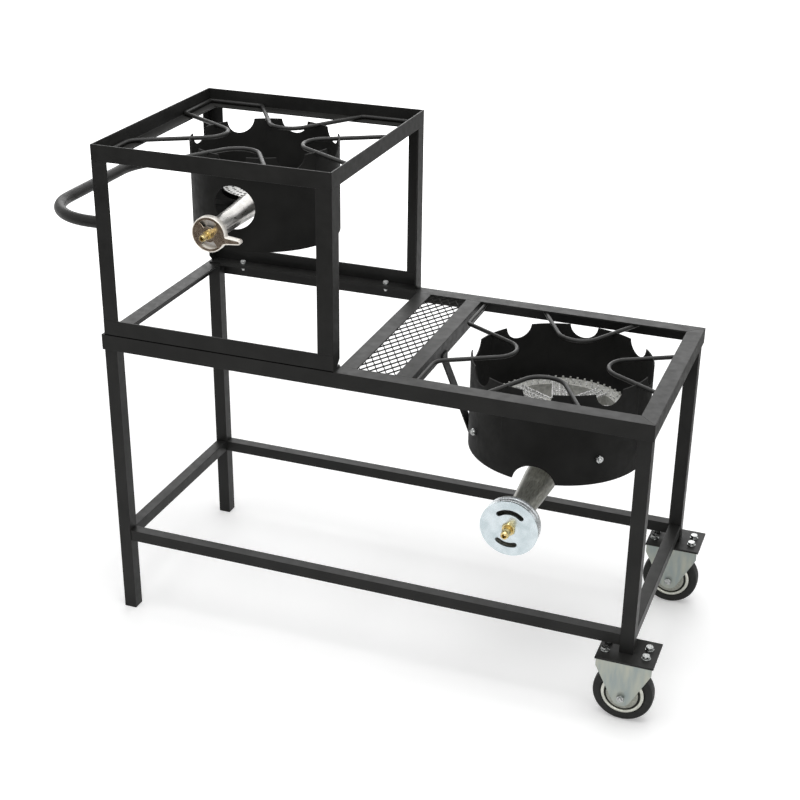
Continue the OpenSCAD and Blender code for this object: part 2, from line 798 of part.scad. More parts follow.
// Zinc disc with two curved slots, turning on the gas nozzle to set the air
module lower_air_shutter() {
    color("#dfe4e8") from_corner()
        facing_front(lower_x, venturi_z, disc_y, disc_y + disc_t) difference() {
            circle(r = disc_r);
            circle(r = lower_shank_r + shutter_gap);
            curved_slot(slot_mid_r, slot_w, 48, 127);
            curved_slot(slot_mid_r, slot_w, 233, 291);
        }
}

// Small angle brackets on the lower drum's wall that carry the ring casting
module lower_burner_brackets() {
    wall_r = lower_drum_r - drum_t;
    flat_r = sqrt(wall_r * wall_r - bracket_w * bracket_w / 4) - 0.1;
    reach = ring_r - 16;
    height = 26;
    color("#2e2e2e") from_corner() at_brackets() difference() {
        union() {
            translate([reach, -bracket_w / 2, ring_bottom - bracket_t])
                cube([flat_r - reach, bracket_w, bracket_t]);
            translate([flat_r - bracket_t, -bracket_w / 2, ring_bottom - bracket_t])
                cube([bracket_t, bracket_w, height]);
        }
        translate([flat_r - 2 * bracket_t, 0, drum_bolt_z]) rotate([0, 90, 0])
            cylinder(h = 3 * bracket_t, r = m8[0] + seat_gap, $fn = 32);
    }
}

// Flat bars from the right crossbar and the right rail down to the lower drum's
// wall: a short end welded on the upright leaf, a bend below it, a cut to the wall
module drum_straps() {
    wall_r = lower_drum_r + seat_gap;
    off_y = drum_strap_y - lower_y;
    foot = [sqrt(wall_r * wall_r - off_y * off_y),
            lower_rim_top - lower_drum_h + drum_strap_foot];
    color("#242424") from_corner() difference() {
        for (side = [[-1, lower_x - crossbar_right_x], [1, base_l - angle_t - lower_x]]) {
            bend = [side[1], base_h - angle_w - 6];
            along = unit(foot - bend);
            inner = strap_t * [along[1], -along[0]];
            end = foot + 10 * along;
            half_turn = acos(-along[1]) / 2;
            outline = [bend + [0, 15], bend, end, end + inner,
                       bend + strap_t * [-1, tan(half_turn)], bend + [-strap_t, 15]];
            translate([lower_x, drum_strap_y + strap_w / 2, 0]) rotate([90, 0, 0])
                linear_extrude(strap_w)
                    polygon([for (at = outline) [side[0] * at[0], at[1]]]);
        }
        translate([lower_x, lower_y, 0]) cylinder(h = base_h, r = wall_r);
    }
}

// Side plate outline of a caster fork, in X and Z about the axle
module fork_side_outline() {
    half = fork_plate_l / 2;
    top = fork_top - wheel_r;
    shoulder = fork_shoulder_z - wheel_r;
    hyp = norm([half, shoulder]);
    reach_a = atan2(shoulder, half) - acos(fork_round / hyp);
    touch = fork_round * [cos(reach_a), sin(reach_a)];
    difference() {
        union() {
            polygon([[half, top], [half, shoulder], [touch[0], touch[1]], [0, 0],
                     [-touch[0], touch[1]], [-half, shoulder], [-half, top]]);
            circle(r = fork_round);
        }
        circle(r = axle_r + seat_gap, $fn = 48);
    }
}

// Zinc fork: a top plate and two tapered side plates
module caster_fork(y) {
    color("#b9bab4") from_corner() difference() {
        union() {
            translate([leg_mid_x - fork_plate_l / 2, y - fork_plate_w / 2, fork_top - fork_t])
                cube([fork_plate_l, fork_plate_w, fork_t]);
            for (face = [-fork_half - fork_t, fork_half])
                facing_front(leg_mid_x, wheel_r, y + face, y + face + fork_t)
                    fork_side_outline();
        }
        at_caster_bolts(fork_top - fork_t - cut)
            cylinder(h = fork_t + 2 * cut, r = m8[0] + seat_gap, $fn = 32);
    }
}

// Turns a wheel profile drawn as radius and offset from the wheel's mid plane
module about_axle(y) {
    translate([leg_mid_x, y, wheel_r]) rotate([90, 0, 0]) rotate_extrude($fn = 128) children();
}

// Pressed zinc rim with a rolled bead, a recessed groove and a hub
module wheel_rim(y) {
    half = wheel_w / 2;
    bore = bushing_r + wheel_gap;
    bead_r = cover_r + groove_w;
    hub_end = fork_half - side_play;
    color("#b5b6ae") from_corner() about_axle(y)
        polygon([[bore, -hub_end], [wheel_hub_r, -hub_end], [wheel_hub_r, -half - 2],
                 [cover_r, -half - 2], [cover_r, -half + 4],
                 [bead_r, -half + 4], [bead_r, -half - 1], [bead_r + 3, -half - 2],
                 [rim_r - 1.5, -half - 1], [rim_r, -half + 1], [rim_r - 2, -half + 4],
                 [rim_r - 2, half - 4], [rim_r, half - 1], [rim_r - 1.5, half + 1],
                 [bead_r + 3, half + 2], [bead_r, half + 1], [bead_r, half - 4],
                 [cover_r, half - 4], [cover_r, half + 2], [wheel_hub_r, half + 2],
                 [wheel_hub_r, hub_end], [bore, hub_end]]);
}

// Solid rubber tyre with rounded shoulders, seated on the rim
module tyre(y) {
    half = wheel_w / 2;
    shoulder = 4;
    color("#242629") from_corner() about_axle(y)
        polygon([[rim_r - 2 + seat_gap, -half + 4.5], [rim_r + 1, -half + 1],
                 [wheel_r - shoulder, -half], [wheel_r - 1.2, -half + 1.2],
                 [wheel_r, -half + shoulder], [wheel_r, half - shoulder],
                 [wheel_r - 1.2, half - 1.2], [wheel_r - shoulder, half],
                 [rim_r + 1, half - 1], [rim_r - 2 + seat_gap, half - 4.5]]);
}

// Places of the wheel axles, Z towards the bolt's head: the front caster's head
// is at the back and the back caster's at the front
module at_axles() {
    for (i = [0, 1])
        translate([leg_mid_x, leg_mid_y[i], wheel_r]) rotate([i == 0 ? -90 : 90, 0, 0])
            children();
}

module axle_bolts() {
    outer = fork_half + fork_t;
    color("#c3c4be") from_corner() at_axles() translate([0, 0, outer])
        bolt(m8, 2 * outer + m8[3] + 3);
}

// Spacer tubes between the fork sides that the wheels turn on
module axle_bushings() {
    color("#a9a9a4") from_corner() for (y = leg_mid_y)
        translate([leg_mid_x, y - fork_half, wheel_r]) rotate([-90, 0, 0]) difference() {
            cylinder(h = 2 * fork_half, r = bushing_r);
            translate([0, 0, -cut]) cylinder(h = 2 * fork_half + 2 * cut, r = axle_r);
        }
}

module stand_bolts() {
    color("#d0d2d4") from_corner() at_stand_bolts(base_h + angle_t + washer_t)
        bolt(m6, 2 * angle_t + washer_t + m6[3] + 4);
}

module caster_bolts() {
    color("#d3d4d0") from_corner() at_caster_bolts(plate_top + washer_t)
        bolt(m8, plate_t + fork_t + washer_t + m8[3] + 3);
}

// Bolts through the lower drum's wall, their heads inside
module drum_bolts() {
    inner = sqrt(pow(lower_drum_r - drum_t, 2) - bracket_w * bracket_w / 4)
            - 0.1 - bracket_t;
    color("#c8cacc") from_corner() at_brackets()
        translate([inner, 0, drum_bolt_z]) rotate([0, -90, 0])
            bolt(m8, lower_drum_r - inner + m8[3] + 3);
}

// Screws under the two burners
module burner_screws() {
    color("#9a9a98") from_corner() {
        translate([upper_x, upper_y, head_bottom - strap_t]) rotate([180, 0, 0])
            bolt(m6, strap_t + head_floor - 3);
        at_flange_screws(ring_bottom - flange_t)
            rotate([180, 0, 0]) bolt(m6, flange_t + ring_wall);
    }
}

module hex_nuts() {
    outer = fork_half + fork_t;
    color("#c8c9c6") from_corner() {
        at_stand_bolts(under_flange - m6[3]) nut(m6);
        at_caster_bolts(fork_top - fork_t - m8[3]) nut(m8);
        at_brackets() translate([lower_drum_r, 0, drum_bolt_z]) rotate([0, 90, 0]) nut(m8);
        at_axles() translate([0, 0, -outer - m8[3]]) nut(m8);
    }
}

module flat_washers() {
    color("#dcdedc") from_corner() {
        at_stand_bolts(base_h + angle_t) washer(m6);
        at_caster_bolts(plate_top) washer(m8);
    }
}

base_side(0);  // base_rail_front
base_side(1);  // base_rail_right
base_side(2);  // base_rail_back
base_side(3);  // base_rail_left
crossbar(crossbar_left_x, crossbar_left_x);  // crossbar_left
crossbar(crossbar_inner_r, crossbar_right_x - angle_t);  // crossbar_right
mesh_panel();
leg(leg_x[0], leg_y[0], 0);  // leg_front_left
leg(leg_x[0], leg_y[1], 0);  // leg_back_left
leg(leg_x[1], leg_y[0], plate_top);  // leg_front_right
leg(leg_x[1], leg_y[1], plate_top);  // leg_back_right
lower_rails_long();
lower_rails_short();
caster_mount_plates();
stand_rim(0);  // stand_rim_front
stand_rim(1);  // stand_rim_right
stand_rim(2);  // stand_rim_back
stand_rim(3);  // stand_rim_left
stand_post(false, false);  // stand_post_front_left
stand_post(false, true);  // stand_post_back_left
stand_post(true, false);  // stand_post_front_right
stand_post(true, true);  // stand_post_back_right
stand_foot(false);  // stand_foot_front
stand_foot(true);  // stand_foot_back
handle();
upper_rod(0);  // upper_rod_right
upper_rod(90);  // upper_rod_back
upper_rod(180);  // upper_rod_left
upper_rod(270);  // upper_rod_front
lower_rod(0);  // lower_rod_right
lower_rod(90);  // lower_rod_back
lower_rod(180);  // lower_rod_left
lower_rod(270);  // lower_rod_front
upper_drum();
upper_burner_body();
upper_burner_plate();
upper_burner_strap();
upper_air_shutter();
upper_gas_nozzle();
lower_drum();
lower_ring_casting();
lower_venturi();
lower_air_shutter();
lower_gas_nozzle();
lower_burner_brackets();
drum_straps();
caster_fork(leg_mid_y[0]);  // front_caster_fork
caster_fork(leg_mid_y[1]);  // back_caster_fork
wheel_rim(leg_mid_y[0]);  // front_wheel_rim
wheel_rim(leg_mid_y[1]);  // back_wheel_rim
tyre(leg_mid_y[0]);  // front_tyre
tyre(leg_mid_y[1]);  // back_tyre
axle_bolts();
axle_bushings();
stand_bolts();
caster_bolts();
drum_bolts();
burner_screws();
hex_nuts();
flat_washers();
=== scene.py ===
"""Looks of a two-burner outdoor gas stove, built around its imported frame.

Lengths are millimetres along the frame's own axes: X towards the casters, Y to the back, Z up,
origin on the floor under the middle of the object. Meshes are stored in metres.
"""

import bmesh
import bpy
import numpy as np
from mathutils import Matrix, Vector


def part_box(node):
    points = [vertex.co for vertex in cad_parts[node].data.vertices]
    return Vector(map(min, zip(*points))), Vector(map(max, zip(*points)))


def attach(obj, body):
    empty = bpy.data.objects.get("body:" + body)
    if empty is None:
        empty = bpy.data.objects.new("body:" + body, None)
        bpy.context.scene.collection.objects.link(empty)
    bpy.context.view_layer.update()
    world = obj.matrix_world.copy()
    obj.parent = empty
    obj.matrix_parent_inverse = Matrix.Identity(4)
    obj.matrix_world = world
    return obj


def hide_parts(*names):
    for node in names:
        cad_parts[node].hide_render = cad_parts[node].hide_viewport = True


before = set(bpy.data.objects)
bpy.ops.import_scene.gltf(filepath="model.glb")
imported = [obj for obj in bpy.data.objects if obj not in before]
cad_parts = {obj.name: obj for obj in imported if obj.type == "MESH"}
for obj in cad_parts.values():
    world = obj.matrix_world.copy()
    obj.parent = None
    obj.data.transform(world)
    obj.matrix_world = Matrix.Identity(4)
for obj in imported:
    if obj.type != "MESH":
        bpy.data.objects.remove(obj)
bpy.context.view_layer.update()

MM = 0.001
X, Y, Z = np.eye(3)
# Corners nearer than this, in metres, are one; edges over this many degrees stay crisp
JOIN = 2e-6
CRISP = 35


# Places read from the frame

def box(node):
    """Lowest and highest corner of a CAD node, in mm."""
    low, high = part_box(node)
    return np.array(low) / MM, np.array(high) / MM


def solids(node):
    """The points of each separate solid of a CAD node, in mm. Corners are matched by place, and each takes
    the lowest label among its triangles until nothing changes."""
    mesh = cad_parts[node].data
    points = np.empty(len(mesh.vertices) * 3)
    mesh.vertices.foreach_get("co", points)
    points = points.reshape(-1, 3) / MM
    corners = np.empty(len(mesh.loops), int)
    mesh.loops.foreach_get("vertex_index", corners)
    same = np.unique(np.round(points, 3), axis=0, return_inverse=True)[1].ravel()
    triangles = same[corners].reshape(-1, 3)
    label = np.arange(same.max() + 1)
    while True:
        lower = label.copy()
        np.minimum.at(lower, triangles.ravel(), np.repeat(label[triangles].min(axis=1), 3))
        lower = lower[lower]
        if (lower == label).all():
            break
        label = lower
    return [points[label[same] == one] for one in np.unique(label)]


def middle(node):
    """Middle of a CAD node's box, in mm."""
    low, high = box(node)
    return (low + high) / 2


(_, FRONT_Y, _), (_, _, BASE_TOP) = box("base_rail_front")
UPPER = middle("upper_drum") * [1, 1, 0]
LOWER = middle("lower_drum") * [1, 1, 0]
CENTRES = {"upper": UPPER, "lower": LOWER}
UPPER_TUBE = middle("upper_gas_nozzle") * [1, 0, 1]
LOWER_TUBE = middle("lower_gas_nozzle") * [1, 0, 1]


# Shapes: each is an array of points and a list of face arrays

def grid(points, wrap_rows=False, wrap_columns=True):
    """Quads over a grid of points with rows and columns, closed round where it wraps."""
    rows, columns = points.shape[:2]
    index = np.arange(rows * columns).reshape(rows, columns)
    if wrap_rows:
        index = np.concatenate([index, index[:1]])
    if wrap_columns:
        index = np.concatenate([index, index[:, :1]], axis=1)
    quads = np.stack([index[:-1, :-1], index[1:, :-1], index[1:, 1:], index[:-1, 1:]], axis=-1)
    return points.reshape(-1, 3), [quads.reshape(-1, 4)]


def joined(*shapes):
    """Several shapes as one."""
    starts = np.cumsum([0] + [len(points) for points, _ in shapes])
    faces = [face + start for (_, group), start in zip(shapes, starts) for face in group]
    return np.concatenate([points for points, _ in shapes]), faces


def copies(corners, faces):
    """Many copies of one small shape: its corners, with a row for each copy, and the faces of one."""
    count, size = corners.shape[:2]
    start = (np.arange(count) * size)[:, None, None]
    return corners.reshape(-1, 3), [(face[None] + start).reshape(-1, face.shape[1]) for face in faces]


def raised(flat, height):
    """2-D points at one height, or at a height each."""
    return np.column_stack([flat, np.broadcast_to(height, len(flat))])


def unit(vectors):
    """A vector, or rows of vectors, at a length of 1."""
    return vectors / np.linalg.norm(vectors, axis=-1, keepdims=True)


def bent(corners, radii, steps):
    """Polyline through 2-D corners with its inner corners rounded: each becomes an arc of its radius that
    touches both sides, its centre on the line that halves the corner."""
    corners = np.asarray(corners, float)
    parts = [corners[:1]]
    for corner, before, after, radius in zip(corners[1:-1], corners[:-2], corners[2:], radii):
        back = unit(before - corner)
        ahead = unit(after - corner)
        half = np.arccos(back @ ahead) / 2
        centre = corner + unit(back + ahead) * radius / np.sin(half)
        start = corner + back * radius / np.tan(half) - centre
        end = corner + ahead * radius / np.tan(half) - centre
        turn = np.pi - 2 * half
        share = np.linspace(0, 1, steps + 1)[:, None]
        arc = (np.sin((1 - share) * turn) * start + np.sin(share * turn) * end) / np.sin(turn)
        parts.append(centre + arc)
    parts.append(corners[-1:])
    return np.concatenate(parts)


def ring_points(sides):
    """Evenly spaced angles of a full turn."""
    return np.linspace(0, 2 * np.pi, sides, endpoint=False)


def tube(path, radius, sides):
    """Round bar along a path that runs level or nearly so. Each ring stands square to the path: its points
    lie at the radius times the cosine of an angle sideways and the sine upwards."""
    ahead = unit(np.gradient(path, axis=0))
    side = np.cross(Z, ahead)
    turn = ring_points(sides)[:, None]
    rings = radius * (np.cos(turn) * side[:, None] + np.sin(turn) * Z)
    points, faces = grid(path[:, None] + rings)
    first, last = np.arange(sides), len(points) - np.arange(sides, 0, -1)
    return points, faces + [first[None, ::-1], last[None]]


def lathe(profile, centre, axis, sides):
    """Turned shape: a profile of (place along the axis, radius) carried in a full circle round the axis."""
    profile = np.asarray(profile, float)
    side = np.roll(axis, 1)
    other = np.cross(axis, side)
    turn = ring_points(sides)[:, None]
    spokes = np.cos(turn) * side + np.sin(turn) * other
    points = centre + profile[:, None, :1] * axis + profile[:, None, 1:] * spokes
    return grid(points)


# Points round a hexagon; how deep its corners are cut down and the radius where the cut starts, as shares
# of its width; how fast the cut widens
HEX_POINTS, HEX_EDGE, CONE_FOOT, CONE_SLOPE = 72, 0.12, 0.49, 1.75


def hexagon(across, height, bore=0):
    """Hex head or nut standing on z = 0. Its radius is the hexagon's, half its width over the cosine of
    the angle to the nearest flat, or that of a cone that takes its corners off, whichever is less."""
    turn = ring_points(HEX_POINTS)
    sixth = np.pi / 3
    flat = across / 2 / np.cos((turn + sixth / 2) % sixth - sixth / 2)
    edge = HEX_EDGE * across
    heights = np.array([0, 0, edge, height - edge, height, height])
    depth = np.minimum(heights, height - heights)
    radius = np.minimum(flat, CONE_FOOT * across + CONE_SLOPE * depth[:, None])
    radius[[0, -1]] = bore
    points = np.stack([radius * np.cos(turn), radius * np.sin(turn),
                       np.broadcast_to(heights[:, None], radius.shape)], axis=-1)
    return grid(points, wrap_rows=bore > 0)


# Thread: pitch, depth over pitch and the root of the radius, and how much thinner its end is
PITCH, THREAD_DEPTH, THREAD_POINT = 1.25, 0.09, 0.8


def thread(radius, length):
    """Shank of rings from z = 0 down, its radius falling and rising by the thread's depth once a pitch."""
    turns = max(int(length / PITCH), 1)
    z = -np.linspace(0, length, 2 * turns + 1)
    r = radius - THREAD_DEPTH * PITCH * np.sqrt(radius) * (np.arange(len(z)) % 2)
    r[-1] = radius - THREAD_POINT
    profile = np.column_stack([np.append(z, -length), np.append(r, 0)])
    return lathe(profile, np.zeros(3), Z, sides=28)


def moved(shape, axis, place):
    """Turns a shape made round +Z so that its Z runs along a unit axis, level or +Z, and moves it."""
    points, faces = shape
    if not axis[2]:
        side = np.cross(Z, axis)
        points = points[:, :1] * side + points[:, 1:2] * Z + points[:, 2:] * axis
    return points + place, faces


# Surfaces

def linear(colour):
    """An sRGB hex colour as linear red, green, blue and alpha."""
    share = np.array([int(colour[i:i + 2], 16) for i in (1, 3, 5)]) / 255
    return (*np.where(share > 0.04045, ((share + 0.055) / 1.055) ** 2.4, share / 12.92), 1)


def add(tree, kind, inputs=None, **settings):
    """Adds a node with its settings; inputs gives each socket a value or another node's output."""
    node = tree.nodes.new(kind)
    for name, value in settings.items():
        setattr(node, name, value)
    for socket, value in (inputs or {}).items():
        if isinstance(value, bpy.types.NodeSocket):
            tree.links.new(value, node.inputs[socket])
        else:
            node.inputs[socket].default_value = value
    return node


def mapped(tree, value, start, end, low=0.0, high=1.0):
    """A value carried from one range to another and kept within it."""
    return add(tree, "ShaderNodeMapRange", {"Value": value, "From Min": start, "From Max": end,
                                            "To Min": low, "To Max": high}).outputs["Result"]


def maths(tree, operation, one, other=0.0):
    """Result of a sum on one or two values."""
    return add(tree, "ShaderNodeMath", {0: one, 1: other}, operation=operation).outputs[0]


def surface(name, colours, patch_mm, rough, grain_mm, depth_mm, metallic=0.0, stretch=(1, 1, 1),
            specular=0.5):
    """Material whose colour drifts between two hex colours over patches, whose roughness varies with a
    finer noise, and whose relief has a grain of one size and depth. A stretch under 1 draws the patches
    out into streaks along that axis."""
    made = bpy.data.materials.new(name)
    made.use_nodes = True
    tree = made.node_tree
    shader = tree.nodes["Principled BSDF"]
    place = add(tree, "ShaderNodeTexCoord").outputs["Object"]
    if stretch != (1, 1, 1):
        place = add(tree, "ShaderNodeVectorMath", {0: place, 1: stretch}, operation="MULTIPLY").outputs[0]
    drift, worn, grain = [
        add(tree, "ShaderNodeTexNoise", {"Vector": place, "Scale": 1 / (size * MM), "Detail": 3.0})
        for size in (patch_mm, patch_mm / 4, grain_mm)]
    blend = mapped(tree, drift.outputs["Fac"], 0.35, 0.65)
    mix = add(tree, "ShaderNodeMix", {"Factor": blend, 6: linear(colours[0]), 7: linear(colours[1])},
              data_type="RGBA")
    gloss = mapped(tree, worn.outputs["Fac"], 0.3, 0.7, *rough)
    relief = add(tree, "ShaderNodeBump", {"Height": grain.outputs["Fac"], "Distance": depth_mm * MM,
                                          "Strength": 1.0})
    tree.links.new(mix.outputs[2], shader.inputs["Base Color"])
    tree.links.new(gloss, shader.inputs["Roughness"])
    tree.links.new(relief.outputs["Normal"], shader.inputs["Normal"])
    shader.inputs["Metallic"].default_value = metallic
    shader.inputs["Specular IOR Level"].default_value = specular
    return made


def distance(tree, centre):
    """How far the surface is, in metres, from an upright line through a place in mm."""
    place = add(tree, "ShaderNodeTexCoord").outputs["Object"]
    flat = add(tree, "ShaderNodeVectorMath", {0: place, 1: (1, 1, 0)}, operation="MULTIPLY").outputs[0]
    foot = (*centre[:2] * MM, 0)
    return add(tree, "ShaderNodeVectorMath", {0: flat, 1: foot}, operation="DISTANCE").outputs["Value"]


def darkened_inside(made, centre, radius, colour):
    """Turns a material's colour to a second one within a radius of an upright line through a place."""
    tree = made.node_tree
    soft = 1.5
    inside = mapped(tree, distance(tree, centre), (radius + soft) * MM, (radius - soft) * MM)
    recoloured(made, inside, colour)


def recoloured(made, share, colour):
    """Turns a material's colour to a second one by a share from 0 to 1."""
    tree = made.node_tree
    base = tree.nodes["Principled BSDF"].inputs["Base Color"]
    mix = add(tree, "ShaderNodeMix", {"Factor": share, 6: base.links[0].from_socket, 7: linear(colour)},
              data_type="RGBA")
    tree.links.new(mix.outputs[2], base)


def shaded_hole_walls(made, centre, radius, colour):
    """Paints shade on the walls of a plate's holes, which lie within a radius of its centre and whose
    normals rise by less than a level face's."""
    tree = made.node_tree
    level = 0.7
    normal = add(tree, "ShaderNodeNewGeometry").outputs["True Normal"]
    rise = add(tree, "ShaderNodeSeparateXYZ", {0: normal}).outputs["Z"]
    wall = maths(tree, "LESS_THAN", maths(tree, "ABSOLUTE", rise), level)
    within = maths(tree, "LESS_THAN", distance(tree, centre), radius * MM)
    recoloured(made, maths(tree, "MULTIPLY", wall, within), colour)


# Satin black enamel sprayed on rolled steel: near black, soft highlights, a faint orange peel
ENAMEL = surface("satin_black_enamel", ("#1c1c1b", "#232322"), 60, (0.38, 0.5), 1.6, 0.03,
                 specular=0.18)
# The same enamel on round bar and tube, rubbed a little greyer
BAR_ENAMEL = surface("enamel_on_round_bar", ("#191918", "#212120"), 30, (0.34, 0.48), 1.2, 0.03,
                     specular=0.3)
# Painted shadow in the seam under the stand: black and without shine
SEAM_SHADOW = surface("painted_seam_shadow", ("#040404", "#080808"), 20, (0.8, 0.9), 2, 0.01, specular=0.0)
# Matt black stove paint on rolled sheet: deep black with hardly any shine
STOVE_PAINT = surface("matt_black_stove_paint", ("#181817", "#1f1f1e"), 45, (0.55, 0.7), 0.9, 0.03,
                      specular=0.12)
# Black enamel on expanded steel: thin strands that stay nearly black
MESH_ENAMEL = surface("enamel_on_expanded_steel", ("#0b0b09", "#141411"), 12, (0.5, 0.65), 0.8, 0.03,
                      specular=0.1)
# Die-cast aluminium, tumbled: bright on top and grey where it faces the black drum, with painted shade on
# the side of the head away from the light, where it mirrors the black drum
CAST_ALUMINIUM = surface("die_cast_aluminium", ("#dedcd8", "#f0eeea"), 14, (0.26, 0.36), 2.5, 0.02,
                         metallic=1.0)
HEAD_R, PLATE_R = 83, 79
# The painted shade ends on a wide circle, nearly a straight line, that runs this far left of the head's
# middle
SHADED_R, SHADE_STARTS = 300, 18
# Painted shade: within that circle the head's casting turns near black
darkened_inside(CAST_ALUMINIUM, UPPER - (SHADED_R + SHADE_STARTS, HEAD_R, 0), SHADED_R, "#2c2b29")
# Pressed aluminium plate: brighter than the casting around it, with painted shade on the walls of its flame
# holes
PRESSED_ALUMINIUM = surface("pressed_aluminium", ("#dcdcda", "#e8e8e6"), 18, (0.42, 0.5), 0.5, 0.01,
                            metallic=0.6)
shaded_hole_walls(PRESSED_ALUMINIUM, UPPER, PLATE_R, "#141312")
# Chromed pressed steel: soft mirror with a slight wave, its colour tinted warm brown as a painted
# reflection of the room in front
CHROME = surface("chromed_steel", ("#b9aa98", "#c9bdae"), 25, (0.16, 0.24), 9, 0.02, metallic=1.0)
# The same chrome on the folded band, brushed to a satin, its colour near white as a painted highlight of
# the light from above
CHROME_BAND_HIGHLIGHT = surface("satin_chrome_painted_highlight", ("#f1ece4", "#faf6ef"), 18, (0.3, 0.4), 3, 0.01, metallic=0.35)
# Turned brass: pale yellow, bright on its turned faces
BRASS = surface("turned_brass", ("#c5b078", "#dfcf9b"), 6, (0.2, 0.3), 0.4, 0.006, metallic=1.0)
# Sand-cast iron rubbed clean: mid grey with a coarse grain
RING_IRON = surface("cleaned_cast_iron", ("#9c9c97", "#bebeb9"), 7, (0.42, 0.6), 1.3, 0.1,
                    metallic=0.35)
# Studs and ridges of the same iron, ground bright on top and speckled where the scale stays
BRIGHT_IRON = surface("ground_cast_iron", ("#4c4c47", "#ffffff"), 2.6, (0.3, 0.45), 0.9, 0.04,
                      metallic=0.1)
# Sand casting linished along its length: warm grey with long streaks
RAW_IRON = surface("raw_cast_iron", ("#84847d", "#a8a8a0"), 2.5, (0.3, 0.46), 1.1, 0.05, metallic=0.9,
                   stretch=(1, 0.2, 1))
# Blue-white zinc plate on turned steel: pale and bright
BLUE_ZINC = surface("blue_white_zinc", ("#bcc8cc", "#d2dbdf"), 17, (0.2, 0.28), 6, 0.004, metallic=0.85)
# The same zinc on the air cup's turned wall, in a lighter colour as a painted highlight; darker where it
# turns away
CUP_ZINC = surface("zinc_on_turned_cup", ("#ccd2d5", "#e6eaec"), 14, (0.24, 0.32), 4, 0.004,
                   metallic=0.8)
# Zinc plate on pressed steel: pale, a little green, with soft upright streaks of warmer grey
FORK_ZINC = surface("zinc_on_pressed_steel", ("#949d9b", "#acaea3"), 12, (0.36, 0.48), 0.9, 0.01,
                    metallic=0.8, stretch=(1, 1, 0.22))
# The same zinc where it is rolled bright
BEAD_ZINC = surface("zinc_on_rolled_bead", ("#b4b5ac", "#cacbc2"), 9, (0.16, 0.26), 3, 0.006,
                    metallic=1.0)
# Plain zinc on the wheel's cover disc: darker and duller than its bead
COVER_ZINC = surface("zinc_on_cover_disc", ("#86887f", "#a0a198"), 3, (0.4, 0.52), 0.8, 0.02,
                     metallic=0.8)
# Zinc-plated bolts and nuts: a grey shine with dull spots
BOLT_ZINC = surface("zinc_on_bolts", ("#8d8f8e", "#bfc1c0"), 3, (0.18, 0.3), 0.5, 0.006, metallic=1.0)
# The stand's small bolts: the same zinc in a near-white colour, a painted highlight of the light from above
HIGHLIGHT_ZINC = surface("zinc_on_bolts_painted_highlight", ("#d2d4d4", "#e8e9e8"), 3, (0.3, 0.4), 0.5, 0.006,
                     metallic=0.4)
# Drawn steel tube: plain grey with a soft shine
STEEL = surface("drawn_steel", ("#8f8f8b", "#a5a5a1"), 5, (0.3, 0.42), 0.5, 0.01, metallic=1.0)
# Moulded black rubber: matt with a fine grain
RUBBER = surface("moulded_rubber", ("#181918", "#20211f"), 14, (0.55, 0.7), 0.8, 0.02, specular=0.3)


# Pieces

def shown(name, data):
    """A new object, in the scene."""
    made = bpy.data.objects.new(name, data)
    bpy.context.scene.collection.objects.link(made)
    return made


def piece(name, shape, surface_of, body, stands_for=(), sharp=CRISP, bevel=0.0):
    """Puts a shape into a mesh in metres, closes its seams, turns its faces outwards, keeps edges over the
    sharp angle crisp, and makes it ride a body in place of its CAD nodes."""
    points, faces = shape
    mesh = bpy.data.meshes.new(name)
    mesh.from_pydata((points * MM).tolist(), [], [face for group in faces for face in group.tolist()])
    work = bmesh.new()
    work.from_mesh(mesh)
    bmesh.ops.remove_doubles(work, verts=work.verts, dist=JOIN)
    bmesh.ops.recalc_face_normals(work, faces=work.faces)
    work.to_mesh(mesh)
    work.free()
    mesh.polygons.foreach_set("use_smooth", [True] * len(mesh.polygons))
    mesh.set_sharp_from_angle(angle=np.radians(sharp))
    mesh.materials.append(surface_of)
    made = shown(name, mesh)
    round_edges(made, bevel)
    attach(made, body)
    if stands_for:
        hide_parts(*stands_for)


def round_edges(thing, width):
    """Rounds edges over 40 degrees by a small width, if any."""
    if not width:
        return
    edge = thing.modifiers.new("edges", "BEVEL")
    edge.width = width * MM
    edge.segments = 2
    edge.limit_method = "ANGLE"
    edge.angle_limit = np.radians(40)
    edge.harden_normals = True


def smoothing():
    """Node group that shades a shape smooth but for its sharp edges."""
    group = bpy.data.node_groups.new("smooth_by_angle", "GeometryNodeTree")
    for way in ("INPUT", "OUTPUT"):
        group.interface.new_socket("Geometry", in_out=way, socket_type="NodeSocketGeometry")
    start = add(group, "NodeGroupInput")
    smooth = add(group, "GeometryNodeSetShadeSmooth", {"Geometry": start.outputs[0]}, domain="FACE")
    angle = add(group, "GeometryNodeInputMeshEdgeAngle")
    sharp = add(group, "FunctionNodeCompare", {0: angle.outputs[0], 1: np.radians(CRISP)})
    crisp = add(group, "GeometryNodeSetShadeSmooth",
                {"Geometry": smooth.outputs[0], "Selection": sharp.outputs[0], "Shade Smooth": False},
                domain="EDGE")
    add(group, "NodeGroupOutput", {0: crisp.outputs[0]})
    return group


SMOOTH = smoothing()


def finish(node, surface_of, bevel):
    """Gives a CAD node its material, joins its loose triangles and rounds its edges."""
    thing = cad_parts[node]
    thing.data.materials.clear()
    thing.data.materials.append(surface_of)
    weld = thing.modifiers.new("join", "WELD")
    weld.merge_threshold = JOIN
    flat = thing.modifiers.new("flat faces", "DECIMATE")
    flat.decimate_type = "DISSOLVE"
    flat.angle_limit = np.radians(0.5)
    shade = thing.modifiers.new("shade", "NODES")
    shade.node_group = SMOOTH
    round_edges(thing, bevel)


WELDED = ("base_rail", "stand_rim", "stand_post", "stand_foot", "leg_", "crossbar", "lower_rails",
          "caster_mount")
FRAME_NODES = [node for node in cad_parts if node.startswith(WELDED)]
